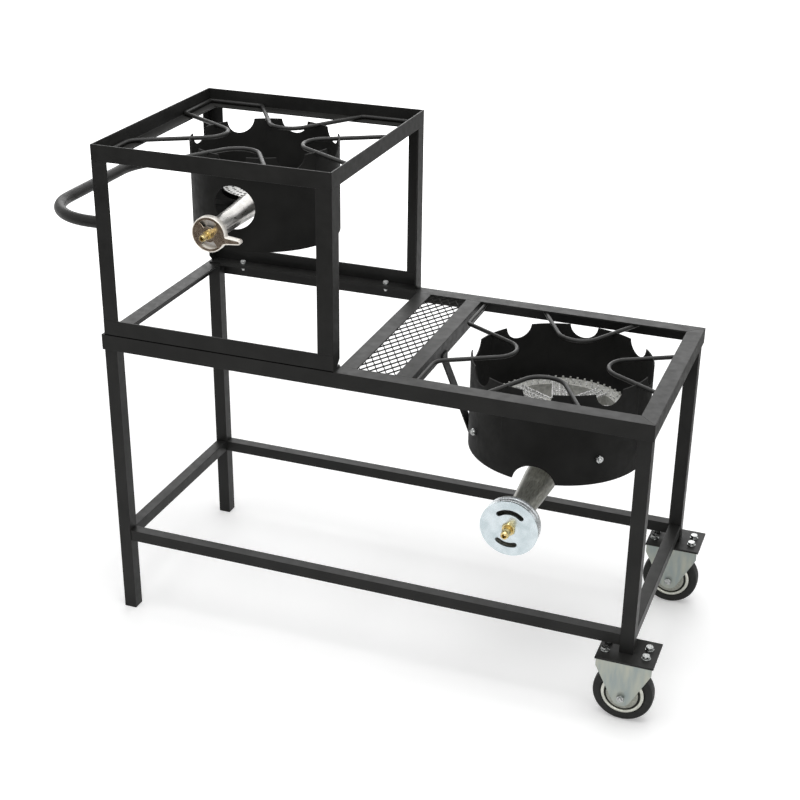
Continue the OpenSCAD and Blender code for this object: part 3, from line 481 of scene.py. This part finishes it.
# Material, width of the rounded edges, and the CAD nodes whose own shape shows with them
FINISHES = [
    (ENAMEL, 0.7, FRAME_NODES), (ENAMEL, 0.4, ["drum_straps"]),
    (STOVE_PAINT, 0.4, ["upper_burner_strap", "lower_burner_brackets"]),
    (STOVE_PAINT, 0.3, ["burner_screws"]), (CAST_ALUMINIUM, 0.6, ["upper_burner_body"]),
    (PRESSED_ALUMINIUM, 0, ["upper_burner_plate"]), (CHROME, 0.2, ["upper_air_shutter"]),
    (RING_IRON, 0.8, ["lower_ring_casting"]), (RAW_IRON, 0.6, ["lower_venturi"]),
    (BLUE_ZINC, 1.0, ["lower_air_shutter"]), (STEEL, 0, ["axle_bushings"]),
    (FORK_ZINC, 0.6, ["front_caster_fork", "back_caster_fork"])]


def finished_nodes():
    """Gives every CAD node that shows its finish."""
    for surface_of, bevel, nodes in FINISHES:
        for node in nodes:
            finish(node, surface_of, bevel)


# Frame of angle iron and tube

def stand_seam_shadows():
    """Painted shadow of the seams in front and behind where the stand sits on the base: thin black strips
    on its faces.
    """
    proud, below, above = 0.2, 0.3, 1.6
    left, right = [corner[0] for corner in box("stand_rim_front")]
    seams = [block((left, y - proud, BASE_TOP - below), (right, y + proud, BASE_TOP + above))
             for y in (FRONT_Y, box("base_rail_back")[1][1])]
    piece("stand_seam_shadows", joined(*seams), SEAM_SHADOW, "frame")


HANDLE_BEND = 110


def handle():
    """Tube of the handle's radius along a flat U with rounded corners."""
    low, high = box("handle")
    radius = (high[2] - low[2]) / 2
    end, front, back = low[0] + radius, low[1] + radius, high[1] - radius
    corners = [(high[0], front), (end, front), (end, back), (high[0], back)]
    path = raised(bent(corners, (HANDLE_BEND, HANDLE_BEND), steps=24), (low[2] + high[2]) / 2)
    piece("tow_handle_tube", tube(path, radius, sides=32), ENAMEL, "frame", ["handle"])


# Width and length of a diamond, and how far the mesh runs under the flanges
MESH_PITCH = np.array([16.8, 29.0])
MESH_RIM = 3
# Lean, width, thickness and tilt in radians of the two families of strands
STRANDS = ((1, 2.3, 1.6, 0.5), (-1, 1.8, 1.5, -0.5))


def expanded_mesh():
    """Raised expanded steel: strands between the bonds of a diamond lattice. Each strand is a bar of
    rectangular section, tilted about its own line; one family is broader than the other."""
    low, high = box("mesh_panel")
    half = (high - low)[:2] / 2 - MESH_RIM
    count = 2 * np.ceil(half / MESH_PITCH).astype(int) + 2
    steps = [np.arange(-most, most + 1) for most in count]
    bonds = np.stack(np.meshgrid(*steps, indexing="ij"), axis=-1).reshape(-1, 2)
    bonds = bonds[bonds.sum(axis=1) % 2 == 1]
    shapes = []
    for lean, width, thick, tilt in STRANDS:
        start = bonds * MESH_PITCH / 2
        end = start + np.array([lean, 1]) * MESH_PITCH / 2
        inside = (np.abs((start + end) / 2) < half).all(axis=1)
        shapes.append(strands(raised(start[inside], 0), raised(end[inside], 0), width, thick, tilt))
    points, faces = joined(*shapes)
    reach = np.append(half + MESH_RIM, np.inf)
    points = np.clip(points, -reach, reach) + (low + high) / 2
    piece("expanded_mesh_strands", joined((points, faces), mesh_rim(low, high)), MESH_ENAMEL, "frame",
          ["mesh_panel"], sharp=20)


def strands(start, end, width, thick, tilt):
    """One bar for each pair of ends: four corners at each of four places along it, set out by half the
    width sideways and half the thickness up, turned by tilt about the bar, and wider at its ends."""
    run = end - start
    along = unit(run)
    wide = np.cos(tilt) * np.cross(Z, along) + np.sin(tilt) * Z
    deep = np.cross(along, wide)
    section = np.array([[-1, -1], [1, -1], [1, 1], [-1, 1]]) / 2 * [width, thick]
    share = np.array([0.0, 0.25, 0.75, 1.0])[:, None]
    swell = np.array([1.15, 0.9, 0.9, 1.15])[:, None, None]
    middle_line = start[:, None] + share * run[:, None]
    points = (middle_line[:, :, None] + section[:, :1] * swell * wide[:, None, None]
              + section[:, 1:] * deep[:, None, None])
    sides = grid(points[0])[1][0]
    ends = [[3, 2, 1, 0], [12, 13, 14, 15]]
    return copies(points.reshape(-1, 16, 3), [np.concatenate([sides, ends])])


def mesh_rim(low, high):
    """Four flat bars that bound the mesh and lie under the flanges."""
    (x0, y0, z0), (x3, y3, z1) = low + Z * 0.3, high - Z * 0.3
    x1, y1, x2, y2 = x0 + MESH_RIM, y0 + MESH_RIM, x3 - MESH_RIM, y3 - MESH_RIM
    bars = [(x0, y0, x3, y1), (x0, y2, x3, y3), (x0, y1, x1, y2), (x2, y1, x3, y2)]
    return joined(*[block((left, front, z0), (right, back, z1)) for left, front, right, back in bars])


def block(low, high):
    """Rectangular solid between two corners."""
    low, high = np.array(low, float), np.array(high, float)
    square = np.array([[0, 0], [1, 0], [1, 1], [0, 1]])
    cube = np.concatenate([raised(square, 0), raised(square, 1)])
    faces = np.array([[0, 3, 2, 1], [4, 5, 6, 7], [0, 1, 5, 4], [1, 2, 6, 5], [2, 3, 7, 6],
                      [3, 0, 4, 7]])
    return low + cube * (high - low), [faces]


# Pot rests

TURNS = {"right": 0, "back": 90, "left": 180, "front": 270}
# Half the width at the rim and reach of the point of each rest's V
REST = {"upper": (107, 39), "lower": (95, 45)}
# Bend radii of the rods' middle lines: at the rim, at the point, at the rim. The left rods bend widely
# in front
ROD_BENDS = (10, 42, 10)
LEFT_ROD_BENDS = {"upper": (10, 42, 22), "lower": (10, 42, 32)}


def turned(points, degrees):
    """2-D points turned about the origin."""
    angle = np.radians(degrees)
    spin = np.array([[np.cos(angle), np.sin(angle)], [-np.sin(angle), np.cos(angle)]])
    return points @ spin


def rod_path(level, side):
    """Middle line of a rest's rod about its drum's centre, before its turn, and the rod's radius and
    height."""
    low, high = box(f"{level}_rod_{side}")
    radius = (high[2] - low[2]) / 2
    ends = turned(np.array([low, high])[:, :2] - CENTRES[level][:2], -TURNS[side])
    near, far = ends.min(axis=0), ends.max(axis=0)
    spread, apex = REST[level]
    rail = far[0] - radius
    corners = [(rail, near[1]), (rail, -spread), (apex, 0), (rail, spread), (rail, far[1])]
    bends = LEFT_ROD_BENDS[level] if side == "left" else ROD_BENDS
    return bent(corners, bends, steps=14), radius, (low[2] + high[2]) / 2


def pot_rests():
    """A bent rod from each side of both rims, carried along its middle line."""
    for level, centre in CENTRES.items():
        for side, degrees in TURNS.items():
            flat, radius, height = rod_path(level, side)
            path = raised(turned(flat, degrees) + centre[:2], height)
            piece(f"{level}_rest_bar_{side}", tube(path, radius, sides=20), BAR_ENAMEL, "frame",
                  [f"{level}_rod_{side}"])


# Wind drums

DRUM_SHEET = 2
# The vents' middles lie this far above the rim
VENT_R, VENT_RISE, VENTS = 27, 2, 8
VENT_ANGLES = np.arange(VENTS) * 2 * np.pi / VENTS
# Half the width of a rod's bed: the rod's radius, and a little for its slant
BED_HALF = 4.2
# Radius of both front openings, the hole's height over the tube, and the arch's depth under the foot
OPENING_R, HOLE_RISE, ARCH_DROP = 40, 19, 8


def crowded(count):
    """Numbers from -1 to 1 that crowd towards both ends, the sines of evenly spaced angles."""
    return np.sin(np.linspace(-np.pi / 2, np.pi / 2, count))


def rim_angles(radius, level):
    """Angles at which the drum's wall is cut into strips: close together in the vents, in the bed of each
    rod and in the front opening. Two are just past each bed, so that its ends stand upright."""
    vent = np.arcsin(np.sqrt(VENT_R ** 2 - VENT_RISE ** 2) * crowded(25) / radius)
    bed = BED_HALF / radius * np.append(crowded(13) * 0.9999, (-1.001, 1.001))
    opening = np.arcsin(OPENING_R * crowded(41) / radius) - np.pi / 2
    angles = np.concatenate([(VENT_ANGLES[:, None] + vent).ravel(), ring_points(240),
                             (slot_angles(radius, level)[:, None] + bed).ravel(), opening])
    return np.unique(np.round(angles % (2 * np.pi), 7))


def slot_angles(radius, level):
    """Angles at which the rods' legs cross a circle of that radius."""
    spread, apex = REST[level]
    found = []
    for side, degrees in TURNS.items():
        rail = rod_path(level, side)[0][:, 0].max()
        leg = unit(np.array([apex - rail, -spread]))
        foot = np.array([rail, spread])
        reach = -foot @ leg - np.sqrt((foot @ leg) ** 2 - foot @ foot + radius ** 2)
        hit = foot + reach * leg
        angle = np.arctan2(hit[1], hit[0])
        found += [np.radians(degrees) + angle, np.radians(degrees) - angle]
    return np.array(found)


def away(angles, centre):
    """Signed difference of angles from a centre, from minus to plus half a turn."""
    return (angles - centre + np.pi) % (2 * np.pi) - np.pi


def drum_wall(level, radius, bottom, top, arch=None, hole=None):
    """Sheet drum as one closed wall. The rim's height over an angle is the top, less a circle's depth in
    each vent and the rod's depth in each slot. The foot rises by a circle's height in an arch of a given
    height, and a hole parts the wall between the two halves of a circle."""
    angles = rim_angles(radius, level)
    rim = np.full(len(angles), float(top))
    for centre in VENT_ANGLES:
        off = radius * np.sin(away(angles, centre))
        near = (np.abs(off) < VENT_R) & (np.abs(away(angles, centre)) < 1)
        depth = np.sqrt(np.maximum(VENT_R ** 2 - off ** 2, 0)) - VENT_RISE
        rim = np.where(near, np.minimum(rim, top - depth), rim)
    _, rod_r, rod_z = rod_path(level, "front")
    for centre in slot_angles(radius, level):
        share = np.clip(away(angles, centre) / (BED_HALF / radius), -1, 1)
        bed = rod_z - rod_r * np.sqrt(1 - share ** 2)
        rim = np.where(np.abs(share) < 1, np.minimum(rim, bed), rim)
    front = away(angles, -np.pi / 2)
    off = radius * np.sin(front)
    half = np.where(np.abs(front) < 1, np.sqrt(np.maximum(OPENING_R ** 2 - off ** 2, 0)), 0)
    foot = np.full(len(angles), float(bottom))
    if arch:
        foot = np.where(half > 0, np.maximum(foot, arch + half), foot)
    bands = [(foot, hole - half), (hole + half, rim)] if hole else [(foot, rim)]
    spokes = np.column_stack([np.cos(angles), np.sin(angles), np.zeros(len(angles))])
    skins = (radius, radius - DRUM_SHEET)
    shapes = []
    for low, high in bands:
        heights = low + (high - low) * np.linspace(0, 1, 4)[:, None]
        for r in skins:
            shapes.append(grid(spokes * r + Z * heights[..., None]))
    for edge in (foot, rim):
        rows = [spokes * r + Z * edge[:, None] for r in skins]
        shapes.append(grid(np.stack(rows)))
    if hole:
        keep = np.flatnonzero(np.abs(front) < np.arcsin(OPENING_R / radius) * 1.0001)
        keep = keep[np.argsort(front[keep])]
        for edge in (bands[0][1], bands[1][0]):
            rows = [spokes[keep] * r + Z * edge[keep, None] for r in skins]
            shapes.append(grid(np.stack(rows), wrap_columns=False))
    return joined(*shapes)


def drums():
    """The upper drum with its round hole for the tube, the lower one with its arch for the venturi."""
    for level, centre in CENTRES.items():
        low, high = box(f"{level}_drum")
        opening = {"hole": UPPER_TUBE[2] + HOLE_RISE} if level == "upper" else {"arch": low[2] - ARCH_DROP}
        points, faces = drum_wall(level, (high[0] - low[0]) / 2, low[2], high[2], **opening)
        piece(f"{level}_drum_sheet", (points + centre, faces), STOVE_PAINT, "frame",
              [f"{level}_drum"], bevel=0.3)


# Upper burner

# Mixing tube: its radius at the base's front, how much that grows up to the head, and the swell besides
TUBE_R, TUBE_GROWS, HORN_SWELL = 15.5, 2, 4.6
RIDGE_R = 0.6


def horn():
    """Skin of the upper mixing tube, which swells and rises into the head: rings square to Y whose radius
    and middle grow towards the head, so that the foot stays level. Along both sides a thin ridge where
    the halves of the mould met."""
    behind_shutter, into_head = 1, 10
    start, end = box("upper_air_shutter")[1][1] + behind_shutter, UPPER[1] - HEAD_R + into_head
    y = np.linspace(start, end, 24)
    swell = HORN_SWELL * (y - start) / (end - start)
    radius = TUBE_R + TUBE_GROWS * (y - FRONT_Y) / (UPPER[1] - FRONT_Y) + swell
    line = UPPER_TUBE + np.column_stack([0 * y, y, swell])
    turn = ring_points(64)
    spokes = np.column_stack([np.cos(turn), 0 * turn, np.sin(turn)])
    skin = grid(line[:, None] + radius[:, None, None] * spokes)
    ridges = [tube(line + side * radius[:, None] * X, RIDGE_R, sides=8) for side in (-1, 1)]
    piece("upper_tube_horn", joined(skin, *ridges), CAST_ALUMINIUM, "frame")


def shutter_outline():
    """Outline of the upper shutter about its pivot. From a point on the lever's middle line each ray runs
    to the disc's circle or to the lever, whichever is further; the corners between them are smoothed by
    averaging neighbours."""
    disc_r, drop, reach, root, tip = 32, 8, 56, 10, 4
    lever_rays = np.linspace(-0.2, 0.2, 61) % (2 * np.pi)
    turn = np.unique(np.round(np.concatenate([ring_points(240), lever_rays]), 6))
    cos, sin = np.cos(turn), np.sin(turn)
    disc = drop * sin + np.sqrt(disc_r ** 2 - (drop * cos) ** 2)
    slope = (root - tip) / reach
    edge = root / np.maximum(np.abs(sin) + slope * cos, 1e-6)
    end = reach * cos + np.sqrt(np.maximum(tip ** 2 - (reach * sin) ** 2, 0))
    round_end = np.where(np.abs(reach * sin) < tip, end, 0)
    lever = np.where(edge * cos > reach, round_end, edge)
    ray = np.maximum(disc, np.where(cos > 0, lever, 0))
    outline = np.column_stack([ray * cos, ray * sin - drop])
    for _ in range(3):
        outline = (np.roll(outline, 1, axis=0) + 2 * outline + np.roll(outline, -1, axis=0)) / 4
    return outline


def swept(outline, profile):
    """Closed profile of (distance out of the outline, depth) carried round a closed outline in X and Z."""
    ahead = unit(np.roll(outline, -1, axis=0) - np.roll(outline, 1, axis=0))
    out = np.column_stack([ahead[:, 1], -ahead[:, 0]])
    profile = np.asarray(profile, float)
    flat = outline[:, None] + profile[:, :1] * out[:, None]
    depth = np.broadcast_to(profile[:, 1], flat.shape[:2])
    return grid(np.stack([flat[..., 0], depth, flat[..., 1]], axis=-1), wrap_rows=True)


def shutter_band():
    """Folded band round the shutter: its wall, and a rolled bead that stands proud of the face."""
    low, high = box("upper_air_shutter")
    front, back = low[1], high[1]
    profile = [(-1.55, back), (-1.2, back + 0.15), (-0.2, back + 0.15), (0.15, back - 0.2),
               (0.15, front + 1), (0.0, front + 0.1), (-0.4, front - 0.5), (-1.0, front - 0.75),
               (-1.5, front - 0.5), (-1.9, front + 0.1), (-1.9, front + 1.6), (-1.55, front + 1.8)]
    points, faces = swept(shutter_outline(), profile)
    piece("upper_shutter_folded_band", (points + UPPER_TUBE, faces), CHROME_BAND_HIGHLIGHT, "upper_shutter",
          sharp=50)


def nozzle(level, place, shank_r, across, base_l, hose_r):
    """Brass nozzle along -Y: a shank, a broad flat base hexagon, a narrower one turned half a flat, and a
    barrel that swells, tapers to its end and has a wide mouth."""
    node = f"{level}_gas_nozzle"
    (_, tip_y, _), (_, back, _) = box(node)
    seat_y = box(f"{level}_air_shutter")[0][1] - 0.2
    bore, mouth = 2, hose_r * 0.56
    nut_l, nut_across = 0.5 * base_l, 0.8 * across
    nut_y = seat_y - base_l
    barrel_y = nut_y - nut_l
    length = barrel_y - tip_y
    profile = [(-back, bore), (-back, shank_r), (-barrel_y, shank_r), (-barrel_y, hose_r * 0.86),
               (-barrel_y + 0.12 * length, hose_r * 0.86), (-barrel_y + 0.2 * length, hose_r * 0.98),
               (-barrel_y + 0.45 * length, hose_r), (-tip_y - 0.25 * length, hose_r * 0.95),
               (-tip_y - 0.6, hose_r * 0.84), (-tip_y, hose_r * 0.76), (-tip_y, mouth), (-tip_y - 9, mouth),
               (-tip_y - 10, bore), (-back, bore)]
    barrel = lathe(profile, place, -Y, sides=48)
    base = moved(hexagon(across, base_l, bore=shank_r * 0.9), -Y, place + Y * seat_y)
    points, faces = hexagon(nut_across, nut_l, bore=shank_r * 0.9)
    half_a_flat = raised(turned(points[:, :2], 30), points[:, 2])
    nut = moved((half_a_flat, faces), -Y, place + Y * nut_y)
    piece(f"{level}_brass_nozzle", joined(barrel, base, nut), BRASS, "frame", [node])


def nozzles():
    nozzle("upper", UPPER_TUBE, shank_r=5, across=16, base_l=6, hose_r=6.2)
    nozzle("lower", LOWER_TUBE, shank_r=6, across=21.5, base_l=5, hose_r=7.6)


# Lower burner

# Turn of the first arm in degrees, the arms' number and width, the ring's inner and the hub's radius
FIRST_ARM, ARMS, ARM_W, RING_IN, HUB_R = 15, 8, 29, 107, 40
STUD_H, STUD_R, ROW_STUDS = 5, 2.1, 60
# Radius of each row of studs round the ring, and its turn as a share of their spacing
STUD_ROWS = ((123.5, 0.5), (112, 0))
# Along an arm: the studs' spacing, their weave to both sides, and how far their rows are off its middle
ARM_PITCH, WEAVE, ROW_OFF = 4.4, 2.2, 7
# Half the width of a ridge and its height; both studs and ridges start a little inside the casting
RIDGE_HALF, RIDGE_H, SUNK = 1.4, 3.6, 0.5
# Air cup: its radius, that of its neck, and how far its back edge stands out in front of the base
CUP_R, CUP_NECK_R, CUP_STANDS_OUT = 50, 20, 54


def cup_band():
    """Zinc-plated wall of the venturi's air cup: turned about Y, with a shallow groove round it and a
    rounded back edge."""
    front, back = box("lower_air_shutter")[1][1] + 0.3, FRONT_Y - CUP_STANDS_OUT
    outer, inner, groove = CUP_R, CUP_R - 2, CUP_R - 0.35
    depth = back - front
    profile = [(0, outer - 0.4), (0.6, outer), (0.42 * depth, outer), (0.45 * depth, groove),
               (0.5 * depth, groove), (0.53 * depth, outer), (depth - 2.5, outer),
               (depth - 0.8, outer - 0.9), (depth + 0.3, outer - 3), (depth + 0.3, CUP_NECK_R),
               (depth - 0.4, CUP_NECK_R), (depth - 0.4, inner), (0, inner), (0, outer - 0.4)]
    piece("lower_air_cup_wall", lathe(profile, LOWER_TUBE + Y * front, Y, sides=96), CUP_ZINC, "frame")


def studs(places, bottom, height, radius):
    """A tapered six-sided stud at each 2-D place, closed on top."""
    turn = ring_points(6)
    ring = np.column_stack([np.cos(turn), np.sin(turn)]) * radius
    share = np.array([1.0, 0.8, 0.45])[:, None, None]
    rise = bottom + height * np.array([0, 0.8, 1.0])[:, None, None]
    flat = places[:, None, None] + ring * share
    points = np.concatenate([flat, np.broadcast_to(rise, (*flat.shape[:3], 1))], axis=-1)
    sides = grid(points[0])[1][0]
    caps = np.stack([np.arange(6)[::-1], np.arange(12, 18)])
    return copies(points.reshape(-1, 18, 3), [sides, caps])


def ring_studs():
    """Studs and ridges cast on top of the ring: rows round the ring, and on each arm two rows of studs
    between three ridges."""
    top = box("lower_ring_casting")[1][2] - STUD_H
    rows = []
    for radius, shift in STUD_ROWS:
        turn = (np.arange(ROW_STUDS) + shift) * 2 * np.pi / ROW_STUDS
        rows.append(np.column_stack([np.cos(turn), np.sin(turn)]) * radius)
    out = np.arange(HUB_R + 4, RING_IN, ARM_PITCH)
    weave = WEAVE * (-1) ** np.arange(len(out))
    beside = ARM_W / 2 - 1.6
    ridges = []
    for degrees in FIRST_ARM + np.arange(ARMS) * 360 / ARMS:
        for off in (-ROW_OFF, ROW_OFF):
            rows.append(turned(np.column_stack([out, off + weave]), degrees))
        for off in (-beside, 0, beside):
            points, faces = block((HUB_R - 6, off - RIDGE_HALF, top - SUNK),
                                  (RING_IN + 3, off + RIDGE_HALF, top + RIDGE_H))
            ridges.append((raised(turned(points[:, :2], degrees), points[:, 2]), faces))
    points, faces = joined(studs(np.concatenate(rows), top - SUNK, STUD_H, STUD_R), *ridges)
    piece("ring_studs_and_ridges", (points + LOWER, faces), BRIGHT_IRON, "frame")


# Casters

# The rims' bore, that of the solids
AXLE_BORE = 7.06


def mirrored(side):
    """Closed profile from one side's places and radii, outwards, and their mirror image."""
    return side + [(-place, radius) for place, radius in reversed(side)] + side[:1]


def on_both_sides(profile, centre):
    """A turned shape about Y and its mirror image."""
    profile = np.array(profile)
    return joined(*[lathe(profile * [sign, 1], centre, Y, sides=96) for sign in (1, -1)])


def wheels():
    """Turned rims and tyres. The rim is a hub, a cover disc, a groove filled by a black ring of painted
    shade and a rolled bead on each side; the tyre has rounded shoulders and a slight crown."""
    for where in ("front", "back"):
        body = f"{where}_wheel"
        low, high = box(f"{where}_tyre")
        centre = (low + high) / 2
        half, outer = (high[1] - low[1]) / 2, (high[2] - low[2]) / 2
        rim_low, rim_high = box(f"{where}_wheel_rim")
        hub = (rim_high[1] - rim_low[1]) / 2
        rim = mirrored([(hub, AXLE_BORE), (hub, 11.2), (hub - 0.8, 12), (half + 1.7, 12),
                        (half + 1.7, 27.6), (half, 28.8), (half - 3, 29.2), (half - 3, 32.2),
                        (half - 0.5, 32.4), (half + 1, 33), (half + 1.9, 34.4), (half + 2, 36),
                        (half + 1.4, 37.8), (half, 39.2), (half - 1.6, 39.5), (half - 4, 37.6)])
        piece(f"{where}_rolled_rim", lathe(rim, centre, Y, sides=96), BEAD_ZINC, body,
              [f"{where}_wheel_rim"], sharp=50)
        cover = [(half + 1.9, 11.6), (half + 2, 12), (half + 2, 27.6), (half + 1.4, 28.9),
                 (half + 0.4, 29), (half + 1.4, 27.6), (half + 1.4, 11.6), (half + 1.9, 11.6)]
        piece(f"{where}_cover_discs", on_both_sides(cover, centre), COVER_ZINC, body)
        # Painted shade: a black ring fills each groove and stands for the dark gap under the cover disc
        groove_shade = [(half - 2.6, 29), (half - 1.4, 29.6), (half - 1.4, 31.9), (half - 2.6, 32.4),
                (half - 2.6, 29)]
        piece(f"{where}_groove_shade_rings", on_both_sides(groove_shade, centre), RUBBER, body)
        turn = np.linspace(0, np.pi / 2, 7)
        shoulder = np.column_stack([half - 4 + 4 * np.cos(turn), outer - 4.6 + 4 * np.sin(turn)])
        tyre = mirrored([(half - 4.2, 38), (half - 1.2, 40.6), (half - 0.2, 42), (half, 46),
                         *shoulder.tolist(), (half * 0.35, outer)])
        piece(f"{where}_moulded_tyre", lathe(tyre, centre, Y, sides=96), RUBBER, body,
              [f"{where}_tyre"])


# Fasteners

# Shank radius, width across flats and head height
SIZES = {"M6": (3, 10, 4), "M8": (4, 13, 5.3)}
# Under these heights a nut lies flat, and a nut is an M6; this near the axles' height it is on one; under
# this radius a washer is an M6
FLAT_NUT, SMALL_NUT, NEAR_AXLE, SMALL_WASHER = 8, 6, 5, 7


def bolt(points, size, axis):
    """Hex bolt in the place of a CAD solid: head on the side that axis points to, thread to its end."""
    radius, across, head = SIZES[size]
    along = points @ axis
    side = X if axis[2] else np.cross(Z, axis)
    other = np.cross(axis, side)
    mid = [((points @ v).max() + (points @ v).min()) / 2 for v in (side, other)]
    place = side * mid[0] + other * mid[1] + axis * (along.max() - head)
    shank = along.max() - head - along.min()
    return moved(joined(hexagon(across, head), thread(radius, shank)), axis, place)


def outward(points):
    """Level unit direction from the lower drum's middle to that of a solid."""
    return unit(((points.min(axis=0) + points.max(axis=0)) / 2 - LOWER) * [1, 1, 0])


def fasteners(name, node, shapes, plating=BOLT_ZINC, sharp=25):
    """One piece of all the shapes that stand for the solids of a node."""
    piece(name, joined(*shapes), plating, "frame", [node], sharp=sharp)


def bolts():
    """Bolts with their heads up, to the drum's inside, or on the outer sides of the wheels."""
    for node, size, plating in (("stand_bolts", "M6", HIGHLIGHT_ZINC), ("caster_bolts", "M8", BOLT_ZINC)):
        fasteners(f"{node}_threaded", node, [bolt(points, size, Z) for points in solids(node)], plating)
    drum = [bolt(points, "M8", -outward(points)) for points in solids("drum_bolts")]
    fasteners("drum_bolts_threaded", "drum_bolts", drum)
    axles = sorted(solids("axle_bolts"), key=lambda points: points[:, 1].mean())
    pair = [bolt(points, "M8", axis) for points, axis in zip(axles, (Y, -Y))]
    fasteners("axle_bolts_threaded", "axle_bolts", pair)


def nuts():
    """A hex nut with turned corners in the place of each CAD nut: upright on the stand and the casters, and
    level on the axles and round the drum."""
    axle_z = middle("front_tyre")[2]
    shapes = []
    for points in solids("hex_nuts"):
        low, high = points.min(axis=0), points.max(axis=0)
        mid = (low + high) / 2
        height = high[2] - low[2]
        if height < FLAT_NUT:
            axis = Z
        elif abs(mid[2] - axle_z) < NEAR_AXLE:
            axis = Y
        else:
            axis = outward(points)
        along = points @ axis
        thick = along.max() - along.min()
        radius, across, _ = SIZES["M6" if height < SMALL_NUT else "M8"]
        shapes.append(moved(hexagon(across, thick, bore=radius - 0.1), axis, mid - axis * thick / 2))
    fasteners("hex_nuts_turned", "hex_nuts", shapes)


def washers():
    """Flat rings with rounded rims."""
    shapes = []
    for points in solids("flat_washers"):
        low, high = points.min(axis=0), points.max(axis=0)
        outer, t = (high[0] - low[0]) / 2, high[2] - low[2]
        inner = SIZES["M6" if outer < SMALL_WASHER else "M8"][0]
        profile = [(0, inner), (0, outer - 0.3), (0.3, outer), (t - 0.3, outer), (t, outer - 0.3),
                   (t, inner), (0, inner)]
        centre = (low + high) / 2 * [1, 1, 0] + Z * low[2]
        shapes.append(lathe(profile, centre, Z, sides=40))
    fasteners("flat_washers_pressed", "flat_washers", shapes, sharp=CRISP)


# Studio

def matt(name, colour, rough):
    """Material of one colour for the studio, and its shader."""
    made = bpy.data.materials.new(name)
    made.use_nodes = True
    shader = made.node_tree.nodes["Principled BSDF"]
    shader.inputs["Base Color"].default_value = colour
    shader.inputs["Roughness"].default_value = rough
    return made, shader


def studio():
    """White floor and background, a large soft lamp overhead, a low one behind and a weak one in front."""
    world = bpy.data.worlds.new("studio")
    bpy.context.scene.world = world
    world.use_nodes = True
    tree = world.node_tree
    tree.nodes.clear()
    fill = add(tree, "ShaderNodeBackground", {"Color": (1, 1, 1, 1), "Strength": 0.34})
    white = add(tree, "ShaderNodeBackground", {"Color": (1, 1, 1, 1), "Strength": 1.0})
    both = add(tree, "ShaderNodeMixShader", {0: seen_directly(tree), 1: fill.outputs[0],
                                             2: white.outputs[0]})
    add(tree, "ShaderNodeOutputWorld", {"Surface": both.outputs[0]})
    paper, shader = matt("white_paper", (0.93, 0.93, 0.93, 1), 0.9)
    shader.inputs["Specular IOR Level"].default_value = 0.0
    shader.inputs["Emission Color"].default_value = (1, 1, 1, 1)
    tree = paper.node_tree
    place = add(tree, "ShaderNodeTexCoord").outputs["Object"]
    far = add(tree, "ShaderNodeVectorMath", {0: place}, operation="LENGTH").outputs["Value"]
    glow = maths(tree, "MULTIPLY", seen_directly(tree), mapped(tree, far, 1.2, 3.5, 0.26, 1.0))
    tree.links.new(glow, shader.inputs["Emission Strength"])
    ground("studio_floor", (-14, -12), (14, 16), 0, paper)
    for name, colour, low, high in (("room_in_front", "#3f3023", (-8, -9), (8, -1.7)),
                                    ("room_at_right", "#8c8b88", (0.75, 0.5), (7, 7))):
        card = ground(name, low, high, 0.004, matt(name, linear(colour), 0.8)[0])
        card.visible_camera = False
        card.visible_diffuse = False
        card.visible_shadow = False
    lamp("overhead", (0.2, -0.2, 3.2), (0, 0, 0), (3.0, 3.0), 82)
    lamp("behind", (-1.3, 3.6, 1.9), (0, 0, 0.6), (4.0, 1.8), 46)
    lamp("front", (1.0, -3.4, 1.8), (0, 0, 0.4), (1.8, 1.8), 15)


def seen_directly(tree):
    """1 where the camera, a reflection or a refraction sees the surface, else 0."""
    path = add(tree, "ShaderNodeLightPath").outputs
    seen = path["Is Camera Ray"]
    for ray in ("Is Glossy Ray", "Is Transmission Ray"):
        seen = maths(tree, "MAXIMUM", seen, path[ray])
    return seen


def ground(name, low, high, height, cover):
    """Level rectangle of the studio, in metres."""
    mesh = bpy.data.meshes.new(name)
    mesh.from_pydata([(low[0], low[1], height), (high[0], low[1], height), (high[0], high[1], height),
                      (low[0], high[1], height)], [], [(0, 1, 2, 3)])
    mesh.materials.append(cover)
    made = shown(name, mesh)
    return made


def lamp(name, place, target, size, power):
    """Rectangular lamp that no camera sees, in metres and watts, turned to a target."""
    data = bpy.data.lights.new(name, "AREA")
    data.shape = "RECTANGLE"
    data.size, data.size_y = size
    data.energy = power
    thing = shown(name, data)
    thing.location = place
    thing.rotation_mode = "QUATERNION"
    thing.rotation_quaternion = (Vector(target) - Vector(place)).to_track_quat("-Z", "Y")
    thing.visible_camera = False


def camera():
    """Camera solved from the frame's straight edges in the photograph: place in mm, then heading, dip and
    roll in degrees, focal length and optical centre in pixels of the 800 wide picture."""
    place = np.array([935.7, -2384.35, 1656.3])
    heading, dip, roll = np.radians([20.775, 25.518, 0.493])
    focal, centre, picture = 1501.85, (388.61, 411.49), 800
    ahead = np.array([-np.sin(heading) * np.cos(dip), np.cos(heading) * np.cos(dip), -np.sin(dip)])
    right = np.array([np.cos(heading), np.sin(heading), 0])
    up = np.cross(right, ahead)
    axes = [np.cos(roll) * right + np.sin(roll) * up, np.cos(roll) * up - np.sin(roll) * right, -ahead]
    data = bpy.data.cameras.new("photo_view")
    data.sensor_width = 36
    data.lens = focal * data.sensor_width / picture
    data.shift_x = (picture / 2 - centre[0]) / picture
    data.shift_y = (centre[1] - picture / 2) / picture
    view = shown("photo_view", data)
    view.matrix_world = Matrix.Translation(place * MM) @ Matrix(np.array(axes).T).to_4x4()
    bpy.context.scene.camera = view


camera()
studio()
finished_nodes()
stand_seam_shadows()
handle()
expanded_mesh()
pot_rests()
drums()
shutter_band()
horn()
nozzles()
ring_studs()
cup_band()
wheels()
bolts()
nuts()
washers()
bpy.context.scene.view_settings.view_transform = "Standard"
